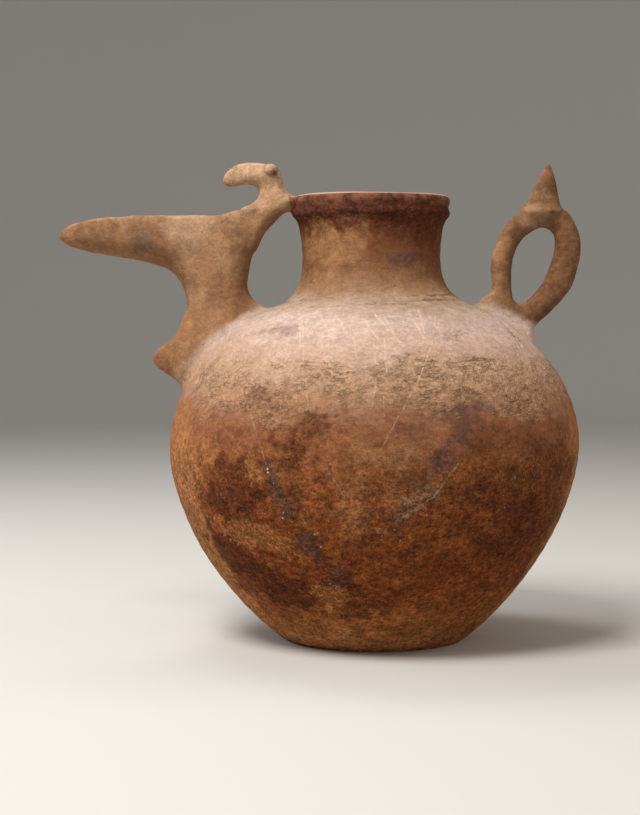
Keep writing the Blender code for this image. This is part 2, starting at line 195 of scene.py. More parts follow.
def outer_profile():
    """The wall, then the flare, the collar's roll and the lip's roll, each an arc."""
    rim_radius = NECK_RADIUS + RIM_OVERHANG
    wall = wall_profile(OUTER_STEPS)
    foot = arc([FOOT_RADIUS - FOOT_ROUND, FOOT_ROUND], FOOT_ROUND, -90.0, -40.0, 8)
    collar_centre = [rim_radius - COLLAR_BEAD, RIM_HEIGHT - 2 * LIP_BEAD - COLLAR_BEAD]
    lip_centre = [rim_radius - LIP_BEAD, RIM_HEIGHT - LIP_BEAD]
    flare_foot = [NECK_RADIUS + RIM_OVERHANG / 5, RIM_HEIGHT - (1 - FLARE_START) * NECK_HEIGHT]
    collar = arc(collar_centre, COLLAR_BEAD, -75.0, 50.0, 14)
    flare = through([wall[-1], flare_foot, collar[0]], 14)
    lip = arc(lip_centre, LIP_BEAD, -45.0, 120.0, 20)
    return np.vstack([foot, wall[1:], flare[1:-1], collar, lip])


def inner_profile():
    """The wall's line moved in by the wall, from the floor's corner up through the mouth."""
    wall = inset(wall_profile(OUTER_STEPS), WALL)
    corner = [np.interp(FLOOR, wall[:, 1], wall[:, 0]) - FOOT_ROUND, FLOOR]
    wall = wall[wall[:, 1] > FLOOR + FOOT_ROUND]
    mouth_radius = NECK_RADIUS + RIM_OVERHANG - 2 * LIP_BEAD
    throat = [[wall[-1][0], RIM_HEIGHT - (1 - FLARE_START) * NECK_HEIGHT],
              [mouth_radius, RIM_HEIGHT - 2 * LIP_BEAD]]
    lip = arc([mouth_radius + LIP_BEAD, RIM_HEIGHT - LIP_BEAD], LIP_BEAD, 180.0, 130.0, 8)
    above = [[mouth_radius + LIP_BEAD, RIM_HEIGHT + LIP_BEAD]]
    return np.vstack([[corner], wall, throat, lip, above])


def lean(height):
    """The rim's lean times the square root of the share of the neck climbed so far."""
    start = RIM_HEIGHT - NECK_HEIGHT
    return -RIM_LEAN * np.sqrt(np.clip((height - start) / NECK_HEIGHT, 0.0, 1.0))


print("the lip's top is", round(RIM_HEIGHT / MM, 1), "mm over the ground")

# %% [markdown]
# ## From rings to a mesh
#
# Every form here is a stack of rings, each with the same number of points. One function turns
# such a grid into a closed mesh: four-sided faces between neighbouring rings, and a fan to a
# middle point at each end. It works on index arrays, so no loop walks over the points.

# %% Skinning a grid of rings
def skin(name, rings, closed=False, ends=(0, -1)):
    """Join point s of ring r to its neighbours in the ring and in the next ring."""
    count, sides = rings.shape[:2]
    index = np.arange(count * sides).reshape(count, sides)
    here = index if closed else index[:-1]
    ahead = np.roll(index, -1, axis=0) if closed else index[1:]
    faces = np.stack([here, np.roll(here, -1, axis=1), np.roll(ahead, -1, axis=1), ahead], axis=-1)
    faces = faces.reshape(-1, 4).tolist()
    points = rings.reshape(-1, 3)
    for end in () if closed else ends:
        fan = np.stack([index[end], np.roll(index[end], -1), np.full(sides, len(points))], axis=-1)
        points = np.vstack([points, rings[end].mean(axis=0)])
        faces += fan.tolist()
    mesh = bpy.data.meshes.new(name)
    mesh.from_pydata(points.tolist(), [], faces)
    work = bmesh.new()
    work.from_mesh(mesh)
    bmesh.ops.recalc_face_normals(work, faces=work.faces)
    work.to_mesh(mesh)
    work.free()
    made = bpy.data.objects.new(name, mesh)
    bpy.context.scene.collection.objects.link(made)
    return made


def turned(name, profile, sides=256):
    """Radius times cosine and sine round the axis, moved by the lean at that height."""
    turn = np.linspace(0.0, 2 * math.pi, sides, endpoint=False)
    radius, height = profile[:, :1], profile[:, 1:] + 0.0 * turn
    return skin(name, np.stack([lean(height) + radius * np.cos(turn), radius * np.sin(turn), height], -1))


def lofted(name, sections, sides=72, squareness=0.0, closed=False):
    """Middle plus cosine times half the reach, and sine times the half width along Y.

    A section's columns are the front point's x and z, the back point's x and z, and the half
    width. Squareness lowers the power of both on the back half, which flattens it.
    """
    turn = np.linspace(0.0, 2 * math.pi, sides, endpoint=False)
    along, across = np.cos(turn), np.sin(turn)
    power = np.where(along < 0.0, 1.0 - np.broadcast_to(squareness, len(sections))[:, None], 1.0)
    share = np.sign(along) * np.abs(along) ** power
    breadth = np.sign(across) * np.abs(across) ** power * sections[:, 4:5]
    middle = (sections[:, 0:2] + sections[:, 2:4]) / 2
    reach = (sections[:, 0:2] - sections[:, 2:4]) / 2
    x = middle[:, :1] + share * reach[:, :1]
    z = middle[:, 1:] + share * reach[:, 1:]
    return skin(name, np.stack([x, breadth, z], axis=-1), closed)


jar = turned("spouted_vase_clay", outer_profile())
print("the jar's grid has", len(jar.data.polygons), "faces")

# %% [markdown]
# ## The spout
#
# The spout is a closed duct that rises from the shoulder and turns into an open trough, the
# beak. A loft fits it: each section reaches from a front point to a back point, and the
# sections fan round from level in the duct to upright in the beak.

# %% The spout
SPOUT_REACH = 0.1732
SPOUT_HALF_WIDTH = 0.0225
SPOUT_FOOT_HALF_WIDTH = 0.0340
SPOUT_WALL = 0.0060
SPOUT_BORE_HALF_WIDTH = 0.0165
SPOUT_LOW_ANGLE = 15.0       # degrees up the shoulder's ellipse
SPOUT_HIGH_ANGLE = 58.0
BORE_INSET = 5.0             # degrees
RIM_EDGE = np.array([-(NECK_RADIUS + RIM_OVERHANG) - RIM_LEAN, RIM_HEIGHT])
SPOUT_SECTIONS = [
    (0.477, -0.758, 0.117, -0.472, 1.26),
    (0.468, -0.654, 0.146, -0.457, 1.14),
    (0.456, -0.556, 0.171, -0.432, 1.06),
    (0.450, -0.469, 0.186, -0.395, 1.02),
    (0.462, -0.404, 0.183, -0.348, 1.00),
    (0.488, -0.357, 0.171, -0.279, 1.00),
    (0.518, -0.327, 0.146, -0.192, 1.00),
    (0.544, -0.312, 0.140, -0.100, 1.00),
    (0.568, -0.303, 0.198, -0.056, 1.00),
    (0.591, -0.296, 0.290, -0.077, 1.00),
    (0.637, -0.284, 0.435, -0.079, 0.98),
    (0.706, -0.270, 0.614, -0.080, 0.93),
    (0.798, -0.256, 0.747, -0.089, 0.87),
    (0.879, -0.240, 0.856, -0.101, 0.78),
    (0.943, -0.221, 0.931, -0.120, 0.62),
    (0.983, -0.199, 0.977, -0.144, 0.40),
    (1.000, -0.183, 0.999, -0.165, 0.16),
]
DUCT_SECTIONS = 8
BEAK_END = 2
LIP_SQUARENESS = 0.60


def shares(origin, length, u, v):
    """The origin, less u lengths along X and plus v lengths along Z."""
    return np.asarray(origin) + length * np.array([-u, v])


def on_shoulder(angle, depth, side):
    """The shoulder's point at an angle, with side's sign on its radius."""
    radius, height = shoulder_point(angle, depth)
    return np.array([side * radius, height])


def section_rows(origin, length, sections, half_width):
    """Both points of each section, from shares of a length, and its share of the half width."""
    return [[*shares(origin, length, *section[:2]), *shares(origin, length, *section[2:4]),
             section[4] * half_width] for section in sections]


def spout_rows():
    """The foot in the shoulder, then each section's shares times the reach."""
    foot = [*on_shoulder(SPOUT_LOW_ANGLE, BEDDING, -1), *on_shoulder(SPOUT_HIGH_ANGLE, BEDDING, -1),
            SPOUT_FOOT_HALF_WIDTH]
    return np.array([foot] + section_rows(RIM_EDGE, SPOUT_REACH, SPOUT_SECTIONS, SPOUT_HALF_WIDTH))


def squared(name, rows, first_open, count):
    """Loft the rows, with squareness that grows from 0 to its full value where they open."""
    opening = np.clip((np.arange(len(rows)) - first_open + 1.5) / 2.0, 0.0, 1.0)
    fine = through(np.column_stack([rows, LIP_SQUARENESS * opening]), count)
    return lofted(name, fine[:, :5], squareness=np.clip(fine[:, 5], 0.0, LIP_SQUARENESS))


def bore_rows():
    """The spout's sections less its wall; open ones rise straight up past the lips."""
    low, high = SPOUT_LOW_ANGLE + BORE_INSET, SPOUT_HIGH_ANGLE - BORE_INSET
    rows = [[*on_shoulder(low, depth, -1), *on_shoulder(high, depth, -1), SPOUT_BORE_HALF_WIDTH]
            for depth in (5 * WALL, 2 * WALL)]
    for index, row in enumerate(spout_rows()[1:-BEAK_END]):
        front, back = row[:2], row[2:4]
        inward = (back - front) / np.linalg.norm(back - front)
        roof = back - SPOUT_WALL * inward if index < DUCT_SECTIONS else back + [0.0, 2 * SPOUT_WALL]
        rows.append([*(front + SPOUT_WALL * inward), *roof, row[4] - SPOUT_WALL])
    return np.array(rows)


spout = squared("spout", spout_rows(), DUCT_SECTIONS + 1, 150)
bore = squared("bore", bore_rows(), DUCT_SECTIONS + 2, 140)
print("the spout reaches", round(SPOUT_REACH / MM), "mm out from the rim")

# %% [markdown]
# ## Knob, bird and handle
#
# These are rolled and pressed pieces of clay, so each is a loft through a few sections. The
# ring handle is a closed loft: its last section is followed by its first.

# %% The knob on the front of the spout
KNOB_LENGTH = 0.0222
KNOB_RADIUS = 0.0110
KNOB_BREADTH = 0.85          # its share of the radius across the view
KNOB_STATIONS = np.array([(-0.90, 2.80), (-0.35, 2.75), (0.00, 2.45), (0.11, 1.98), (0.32, 1.44),
                          (0.61, 1.00), (0.80, 0.72), (0.90, 0.50), (0.97, 0.30), (1.00, 0.12)])
KNOB_FOOT = (0.470, -0.698)


def knob():
    """Round sections whose radius falls from the spout to the tip."""
    root_x, root_z = shares(RIM_EDGE, SPOUT_REACH, *KNOB_FOOT)
    x = root_x - KNOB_STATIONS[:, 0] * KNOB_LENGTH
    radius = KNOB_STATIONS[:, 1] * KNOB_RADIUS
    sections = np.stack([x, root_z - radius, x, root_z + radius, KNOB_BREADTH * radius], axis=1)
    return lofted("knob", through(sections, 40))


# %% The bird's head
BIRD_HEIGHT = 0.0250
BIRD_HALF_WIDTH = 0.0100
EYE_RADIUS = 0.0034
EYE_BEDDING = 0.0012
BIRD_SECTIONS = [
    (1.05, -1.65, 1.53, -1.45, 1.20),
    (0.81, -1.19, 1.45, -1.01, 1.40),
    (0.51, -0.82, 1.37, -0.61, 1.45),
    (0.23, -0.55, 1.31, -0.37, 1.40),
    (-0.19, -0.41, 1.21, -0.23, 1.30),
    (-0.21, -0.11, 1.07, -0.13, 1.25),
    (0.07, 0.09, 0.98, 0.03, 1.15),
    (0.20, 0.29, 0.98, 0.17, 1.05),
    (0.30, 0.63, 1.07, 0.26, 1.00),
    (0.42, 0.91, 1.19, 0.30, 1.03),
    (0.63, 0.98, 1.29, 0.32, 1.00),
    (1.01, 1.00, 1.45, 0.31, 0.88),
    (1.46, 0.97, 1.61, 0.28, 0.70),
    (1.77, 0.84, 1.73, 0.26, 0.54),
    (1.99, 0.63, 1.87, 0.26, 0.38),
    (2.05, 0.45, 1.97, 0.32, 0.16),
]
EYE_PLACE = (0.60, 0.74)


def bird():
    """Back and throat points in shares of the head's height over the lip."""
    rows = section_rows(RIM_EDGE, BIRD_HEIGHT, BIRD_SECTIONS, BIRD_HALF_WIDTH)
    return lofted("bird", through(rows, 90), sides=56)


def ball(name, centre, radii):
    """Rings at even steps of latitude: cosine times cosine and sine, and sine, times the radii."""
    latitude = np.radians(np.linspace(-80.0, 80.0, 15))[:, None]
    turn = np.linspace(0.0, 2 * math.pi, 24, endpoint=False)
    unit = np.stack([np.cos(latitude) * np.cos(turn), np.cos(latitude) * np.sin(turn),
                     np.sin(latitude) + 0.0 * turn], axis=-1)
    return skin(name, np.asarray(centre) + np.asarray(radii) * unit)


def eye(side):
    """A ball sunk in the side of the head."""
    x, z = shares(RIM_EDGE, BIRD_HEIGHT, *EYE_PLACE)
    return ball("eye", (x, side * (BIRD_HALF_WIDTH - EYE_BEDDING), z), EYE_RADIUS)


# %% The ring handle and its finial
HANDLE_HEIGHT = 0.1000
HANDLE_HALF_BREADTH = 0.0088
HANDLE_ANGLE = 42.0
FINIAL_HEIGHT = 0.0378
FINIAL_RADIUS = 0.0160
FINIAL_BREADTH = 0.86
HANDLE_SECTIONS = [
    (-0.021, -0.069, -0.048, 0.253),
    (-0.221, 0.081, -0.089, 0.281),
    (-0.385, 0.262, -0.105, 0.346),
    (-0.272, 0.356, -0.112, 0.441),
    (-0.275, 0.521, -0.107, 0.551),
    (-0.243, 0.681, -0.081, 0.646),
    (-0.177, 0.816, -0.031, 0.731),
    (-0.071, 0.921, 0.029, 0.781),
    (0.104, 0.971, 0.109, 0.813),
    (0.289, 0.951, 0.179, 0.786),
    (0.376, 0.826, 0.205, 0.731),
    (0.405, 0.671, 0.202, 0.641),
    (0.385, 0.533, 0.177, 0.551),
    (0.326, 0.356, 0.125, 0.416),
    (0.189, 0.196, 0.054, 0.326),
    (0.074, 0.081, -0.006, 0.269),
    (0.047, -0.069, -0.026, 0.256),
]
FINIAL_FOOT = (0.110, 0.920)
FINIAL_LEAN = 0.048
FINIAL_STATIONS = np.array([(-0.12, 0.80), (0.04, 1.06), (0.16, 0.88), (0.39, 0.655), (0.62, 0.465),
                            (0.84, 0.27), (0.96, 0.14), (1.00, 0.05)])
HANDLE_BASE = on_shoulder(HANDLE_ANGLE, 0.0, 1)


def handle():
    """Outer edge and edge of the hole, in shares of the ring's height."""
    sections = [(-outer_u, outer_v, -inner_u, inner_v, 1.0)
                for outer_u, outer_v, inner_u, inner_v in HANDLE_SECTIONS]
    rows = section_rows(HANDLE_BASE, HANDLE_HEIGHT, sections, HANDLE_HALF_BREADTH)
    return lofted("handle", through(rows, 180, closed=True), sides=48, closed=True)


def finial():
    """Level sections up a line that leans outwards, with a radius that falls to a point."""
    foot = shares(HANDLE_BASE, HANDLE_HEIGHT, -FINIAL_FOOT[0], FINIAL_FOOT[1])
    tip = foot + np.array([FINIAL_LEAN * HANDLE_HEIGHT, FINIAL_HEIGHT])
    middle = foot + FINIAL_STATIONS[:, :1] * (tip - foot)
    radius = FINIAL_STATIONS[:, 1:] * FINIAL_RADIUS
    level = np.hstack([middle - radius * [1, 0], middle + radius * [1, 0], FINIAL_BREADTH * radius])
    return lofted("finial", through(level, 50), sides=48)


luted = [spout, knob(), bird(), eye(-1), eye(1), handle(), finial()]
print("luted onto the jar:", ", ".join(form.name for form in luted))

# %% [markdown]
# ## One piece of clay
#
# The potter pressed every form onto the jar and smeared the joints over. One Boolean modifier
# does the joining, one the hollowing and one adds two thumbed lumps at joints, each with a
# whole collection of tools at once. A voxel remesh then replaces the uneven facets by small
# squares of one size, which is what numpy needs to smooth and carve the mesh evenly.

# %% Joining, hollowing and remeshing
VOXEL = 1.25 * MM


def applied(target, kind, **settings):
    """Add a modifier with its settings and apply it."""
    modifier = target.modifiers.new(kind.title(), kind)
    for name, value in settings.items():
        setattr(modifier, name, value)
    with bpy.context.temp_override(object=target, active_object=target):
        bpy.ops.object.modifier_apply(modifier=modifier.name)


def boolean(target, others, operation):
    """Join or cut with every object of a collection, then remove them."""
    group = bpy.data.collections.new(operation.lower())
    for other in others:
        group.objects.link(other)
    applied(target, "BOOLEAN", operation=operation, solver="MANIFOLD", operand_type="COLLECTION",
            collection=group)
    for other in others:
        bpy.data.objects.remove(other)
    bpy.data.collections.remove(group)


boolean(jar, luted, "UNION")
boolean(jar, [turned("space", inner_profile()), bore], "DIFFERENCE")
thumbed = [ball("thumbed_clay", (-0.0905, 0.0, 0.3188), (0.0095, 0.0150, 0.0050)),
           ball("thumbed_clay", (-0.1370, 0.0, 0.2380), (0.0065, 0.0110, 0.0065))]
boolean(jar, thumbed, "UNION")
print("joined and hollowed:", len(jar.data.polygons), "faces")
applied(jar, "REMESH", mode="VOXEL", voxel_size=VOXEL)
print("remeshed:", len(jar.data.polygons), "faces")

# %% [markdown]
# ## Reading the mesh as arrays
#
# From here the clay is an array of points, an array of the edges between them and an array of
# normals. A Laplacian, the step from a point to the middle of its neighbours, is all that
# smoothing needs, and two counts per axis work it out for every point at once.

# %% Mesh arrays and smoothing
def read(layer, name, width):
    """Copy one attribute of every element into an array."""
    kind = np.int32 if name == "vertices" else np.float32
    flat = np.empty(len(layer) * width, dtype=kind)
    layer.foreach_get(name, flat)
    return flat.reshape(-1, width)


points = read(jar.data.vertices, "co", 3).astype(float)
edges = read(jar.data.edges, "vertices", 2)
degree = np.bincount(edges.ravel(), minlength=len(points))[:, None]


def laplacian(values):
    """The mean over a point's neighbours, less its own value."""
    total = np.empty_like(values)
    for axis in range(values.shape[1]):
        total[:, axis] = (np.bincount(edges[:, 0], values[edges[:, 1], axis], len(values))
                          + np.bincount(edges[:, 1], values[edges[:, 0], axis], len(values)))
    return total / degree - values


def normals(values):
    """Put the points back into the mesh and read its vertex normals."""
    jar.data.vertices.foreach_set("co", values.astype(np.float32).ravel())
    jar.data.update()
    return read(jar.data.vertex_normals, "vector", 3).astype(float)


def smoothstep(low, high, value):
    """0 below low, 1 above high, and 3t^2 - 2t^3 between."""
    t = np.clip((value - low) / (high - low), 0.0, 1.0)
    return t * t * (3.0 - 2.0 * t)


# %% [markdown]
# ## Where on the vessel is a point?
#
# Every mark is placed by its angle round the jar, 0 at the front and 90 at the handle, and by
# its height. How far a point lies outside the jar's own wall tells the luted forms, the wall's
# outer face and its inner face apart.

# %% Places on the vessel
OUTLINE = outer_profile()
OUTLINE = OUTLINE[:np.argmax(OUTLINE[:, 1]) + 1]
LUTED_FROM, LUTED_FULL = 1.5 * MM, 11.0 * MM       # distances from the jar's outline
INSIDE_FROM, INSIDE_FULL = -2.0 * MM, -4.5 * MM


class Place:
    """Angle, height and distance from the jar's wall of a set of points."""

    def __init__(self, values):
        self.points = values
        self.height = values[:, 2]
        x = values[:, 0] - lean(self.height)
        self.angle = np.degrees(np.arctan2(x, -values[:, 1]))
        self.radius = np.hypot(x, values[:, 1])
        self.out = self.radius - np.interp(self.height, OUTLINE[:, 1], OUTLINE[:, 0])
        over_rim = self.height > RIM_HEIGHT
        self.luted = np.where(over_rim, 1.0, smoothstep(LUTED_FROM, LUTED_FULL, self.out))
        self.inside = np.where(over_rim, 0.0, smoothstep(INSIDE_FROM, INSIDE_FULL, self.out))
        self.wall = (1.0 - self.luted) * (1.0 - self.inside)


def on_wall(angle, height):
    """The point of the outer wall at an angle and a height."""
    turn = math.radians(angle)
    radius = np.interp(height, OUTLINE[:, 1], OUTLINE[:, 0])
    return np.array([lean(height) + radius * math.sin(turn), -radius * math.cos(turn), height])


where = Place(points)
print("points on the wall:", int(where.wall.sum()), " luted:", int(where.luted.sum()))

# %% [markdown]
# ## Noise
#
# Worn clay is uneven at every scale. Value noise gives that: random numbers on a lattice,
# blended smoothly between its eight nearest corners. Adding it at halving sizes, each turned a
# little so the lattices don't line up, makes the fractal kind. A cell noise, the distance to
# the nearest of many scattered points, makes pits.

# %% Noise on whole arrays
LATTICE = 32
TILT = np.array([[0.80, 0.36, -0.48], [-0.60, 0.48, -0.64], [0.0, 0.80, 0.60]])


def noise(values, size, seed):
    """Lattice numbers from -1 to 1, blended with weights 6t^5 - 15t^4 + 10t^3 per axis."""
    table = np.random.default_rng(seed).uniform(-1.0, 1.0, (LATTICE, LATTICE, LATTICE))
    scaled = values / size
    corner = np.floor(scaled).astype(int)
    t = scaled - corner
    t = t * t * t * (t * (6.0 * t - 15.0) + 10.0)
    total = np.zeros(len(values))
    for i, j, k in np.ndindex(2, 2, 2):
        weight = (t[:, 0] if i else 1 - t[:, 0]) * (t[:, 1] if j else 1 - t[:, 1])
        weight = weight * (t[:, 2] if k else 1 - t[:, 2])
        a, b, c = ((corner + [i, j, k]) % LATTICE).T
        total += weight * table[a, b, c]
    return total


def fractal(values, size, seed, octaves=4):
    """Noise at the size, plus half as strong noise at half the size, and so on."""
    total, weight, turned_values = 0.0, 1.0, values
    for octave in range(octaves):
        turned_values = turned_values @ TILT
        total = total + weight * noise(turned_values, size * 0.5 ** octave, seed + octave)
        weight *= 0.5
    return total


def pits(values, size, seed, share, radius):
    """One point in each cell, far enough from its walls to keep the whole dip inside.

    The dip is 1 - (distance / reach)^2, on the share of the cells that is drawn.
    """
    rng = np.random.default_rng(seed)
    edge = radius / size
    centre = rng.uniform(edge, 1.0 - edge, (LATTICE, LATTICE, LATTICE, 3))
    swell = rng.uniform(0.4, 1.0, (LATTICE, LATTICE, LATTICE))
    drawn = rng.uniform(0.0, 1.0, (LATTICE, LATTICE, LATTICE)) < share
    scaled = values / size
    cell = np.floor(scaled).astype(int)
    a, b, c = (cell % LATTICE).T
    away = np.linalg.norm(scaled - cell - centre[a, b, c], axis=1) * size
    dip = np.clip(1.0 - (away / (radius * swell[a, b, c])) ** 2, 0.0, 1.0)
    return dip * swell[a, b, c] * drawn[a, b, c]


# %% [markdown]
# ## Smearing the joints
#
# Where two forms meet, a Boolean leaves a sharp inner corner. A thumb fills such a corner with
# clay. The mesh shows where they are: in a hollow, the Laplacian points outwards. Only those
# points are smoothed, many times, and the rim's own grooves are kept.

# %% Smearing the joints
JOINT_PASSES = 90
WEIGHT_EVERY = 10            # passes between two searches for hollows
HOLLOW_FROM, HOLLOW_FULL = 0.004 * MM, 0.05 * MM     # steps outwards that mark a hollow
RIM_FROM, RIM_FULL = 22 * MM, 16 * MM                # under the lip's top, where grooves are kept
EYE_FROM, EYE_FULL = 7 * MM, 5 * MM                  # round the eye, which is kept too


def smeared(values):
    """Move points in hollows towards their neighbours' middle, and all points a little."""
    rim = smoothstep(RIM_HEIGHT - RIM_FROM, RIM_HEIGHT - RIM_FULL, where.height) * (1.0 - where.luted)
    near_eye = np.linalg.norm(np.abs(values) - np.abs(eye_centre), axis=1)
    keep = np.maximum(rim, smoothstep(EYE_FROM, EYE_FULL, near_eye))
    for turn in range(JOINT_PASSES):
        step = laplacian(values)
        if turn % WEIGHT_EVERY == 0:
            hollow = np.einsum("ij,ij->i", step, normals(values))
            weight = smoothstep(HOLLOW_FROM, HOLLOW_FULL, hollow) * (1.0 - keep)
            for _ in range(3):
                weight = weight + 0.5 * laplacian(weight[:, None])[:, 0]
        values = values + 0.5 * weight[:, None] * step
    for _ in range(6):
        values = values + 0.5 * laplacian(values)
        values = values - 0.52 * laplacian(values)
    return values


eye_x, eye_z = shares(RIM_EDGE, BIRD_HEIGHT, *EYE_PLACE)
eye_centre = np.array([eye_x, BIRD_HALF_WIDTH, eye_z])
points = smeared(points)
where = Place(points)
print("smeared", JOINT_PASSES, "times")

# %% [markdown]
# ## Uneven walls
#
# A jar built from coils and turned slowly by hand is never quite round. Long soft noise moves
# the wall by about half a millimetre, a few wide hollows and bulges by up to 1.7 mm, wet
# fingers leave faint level ridges, and the luted forms have their own shorter bumps. A row of
# HOLLOWS gives angle, height, half width, half height and rise, and a row of DABS the place in
# metres, then size and rise in millimetres.

# %% Uneven walls
HOLLOWS = [
    (-90, 166, 50, 30, -1.7), (-90, 62, 60, 34, 1.1), (-90, 253, 34, 8, -1.4), (35, 120, 60, 40, -0.5),
    (150, 110, 60, 50, -0.8), (-130, 200, 40, 30, -0.6), (10, 60, 50, 26, -0.4),
]
DABS = [
    (-0.0650, -0.0100, 0.3262, 4.5, 1.3), (-0.0765, -0.0120, 0.3497, 4.2, 1.5),
    (-0.0765, 0.0120, 0.3497, 4.2, 1.5), (-0.0925, -0.0130, 0.3225, 4.5, 1.4),
    (0.0795, 0.0000, 0.2555, 10.0, -1.6), (0.1240, -0.0090, 0.3325, 3.5, -0.8),
    (-0.0733, -0.0110, 0.3464, 1.8, -1.2), (-0.0733, 0.0110, 0.3464, 1.8, -1.2),
    (-0.0820, 0.0000, 0.3548, 4.5, -1.1), (-0.0705, 0.0000, 0.3545, 4.0, -1.2),
]
WAVE, FINGER_MARK, LUMP = 0.50 * MM, 0.10 * MM, 0.42 * MM      # heights of the three patterns


def ridges(place, spacing, seed):
    """A sine up the height whose phase wanders round the jar."""
    wander = fractal(place.points * [1.0, 1.0, 0.35], 60 * MM, seed, 2)
    return np.sin(2 * math.pi * place.height / spacing + 3.0 * wander)


def swellings(place):
    """Wide soft hollows and bulges, each exp(-(distance over size)^2) round its middle."""
    total = np.zeros(len(place.points))
    for angle, height, width, tall, rise in HOLLOWS:
        turn = (place.angle - angle + 180.0) % 360.0 - 180.0
        up = (place.height - height * MM) / (tall * MM)
        total += rise * MM * np.exp(-(turn / width) ** 2 - up ** 2)
    return total * place.wall


def dabs(place):
    """Small lumps and hollows round given points, in the same bell form."""
    total = np.zeros(len(place.points))
    for x, y, z, size, rise in DABS:
        away = np.linalg.norm(place.points - [x, y, z], axis=1) / (size * MM)
        total += rise * MM * np.exp(-away ** 2)
    return total


def unevenness(place):
    """Metres outwards: long noise and ridges on the wall, shorter noise on the luted forms."""
    long_waves = WAVE * fractal(place.points, 75 * MM, 11, 2) - 0.45 * MM
    finger_marks = FINGER_MARK * ridges(place, 11 * MM, 21)
    lumps = LUMP * fractal(place.points, 17 * MM, 31, 3) - 0.25 * MM
    return (place.wall * (long_waves + finger_marks) + place.luted * lumps
            + place.inside * finger_marks * 3 + swellings(place) + dabs(place))


push = unevenness(where)
print("walls moved by", round(push.min() / MM, 2), "to", round(push.max() / MM, 2), "mm")

# %% [markdown]
# ## Weathered skin
#
# Round the upper belly the smoothed skin has flaked off and left a rough, pitted band. A patch
# function marks such places: an ellipse on the wall whose edge is broken up by noise. The relief
# in it is fractal noise squeezed in height, because the flakes follow the potter's level strokes.

# %% Patches and lines on the wall
def patch(place, angle, height, wide, tall, tilt=0.0, ragged=0.45, soft=0.30, seed=0):
    """1 where the distance in the turned ellipse, plus noise, is under 1, and 0 beyond."""
    turn = (place.angle - angle + 180.0) % 360.0 - 180.0
    across = np.radians(turn) * np.interp(height * MM, OUTLINE[:, 1], OUTLINE[:, 0])
    up = place.height - height * MM
    tilt = math.radians(tilt)
    along = (across * math.cos(tilt) + up * math.sin(tilt)) / (wide * MM)
    over = (up * math.cos(tilt) - across * math.sin(tilt)) / (tall * MM)
    distance = np.hypot(along, over)
    near = np.flatnonzero(distance < 2.0)
    edge = ragged * fractal(place.points[near], 0.5 * min(wide, tall) * MM, 400 + seed, 4)
    result = np.zeros(len(distance))
    result[near] = smoothstep(1.0 + soft, 1.0 - soft, distance[near] + edge)
    return result * place.wall


def away_from(values, path):
    """The least distance to any straight stretch between two following points of a path."""
    best = np.full(len(values), 1.0)
    for start, end in zip(path[:-1], path[1:]):
        stretch = end - start
        share = np.clip((values - start) @ stretch / (stretch @ stretch), 0.0, 1.0)
        best = np.minimum(best, np.linalg.norm(values - start - share[:, None] * stretch, axis=1))
    return best


def line(place, spots, width, seed=0, wander=0.6):
    """Falls off from a path of angles and heights as exp(-(distance / width)^2), a bit crooked."""
    path = [on_wall(angle, height * MM) for angle, height in spots]
    near = np.flatnonzero(away_from(place.points, path) < 5.0 * width * MM)
    found = place.points[near]
    crooked = found + wander * width * MM * np.stack(
        [fractal(found, 4 * width * MM, 700 + seed + axis, 2) for axis in range(3)], axis=1)
    result = np.zeros(len(place.points))
    result[near] = np.exp(-(away_from(crooked, path) / (width * MM)) ** 2)
    return result * place.wall


ROUGH_PATCHES = [
    (-49, 190, 26, 17, 0.7), (-30, 180, 24, 15, 0.7), (-12, 199, 34, 12, 0.7), (8, 200, 30, 12, 0.8),
    (20, 192, 30, 14, 0.8), (44, 184, 26, 16, 1.0), (30, 209, 26, 5, 0.9), (12, 211, 14, 5, 0.7),
    (29, 228, 12, 4, 0.5), (63, 226, 6, 8, 0.5), (100, 186, 40, 16, 0.8), (145, 196, 46, 12, 0.8),
    (190, 182, 44, 18, 0.9), (-110, 190, 34, 18, 0.8), (165, 150, 20, 30, 0.5),
]
BELT_FOOT = (164 * MM, 186 * MM)
BELT_TOP = (222 * MM, 202 * MM)


def rough_band(place):
    """How rough the skin is: patches in a belt round the upper belly, front and back."""
    belt = smoothstep(*BELT_FOOT, place.height) * smoothstep(*BELT_TOP, place.height)
    rough = np.zeros(len(belt))
    near = np.flatnonzero(belt * place.wall > 0.0)
    broken = smoothstep(-0.6, 0.4, fractal(place.points[near] * [1, 1, 1.6], 26 * MM, 51, 4))
    rough[near] = 0.60 * belt[near] * broken * place.wall[near]
    for angle, height, wide, tall, strength in ROUGH_PATCHES:
        found = patch(place, angle, height, wide, tall, soft=0.5, seed=int(height))
        rough = np.maximum(rough, strength * found)
    return rough


outer_points = np.flatnonzero(where.inside < 0.5)
outer = Place(points[outer_points])
rough = rough_band(outer)
rough_share = float((rough > 0.3).sum()) / float(outer.wall.sum())
print("rough skin covers", round(100 * rough_share), "% of the wall")

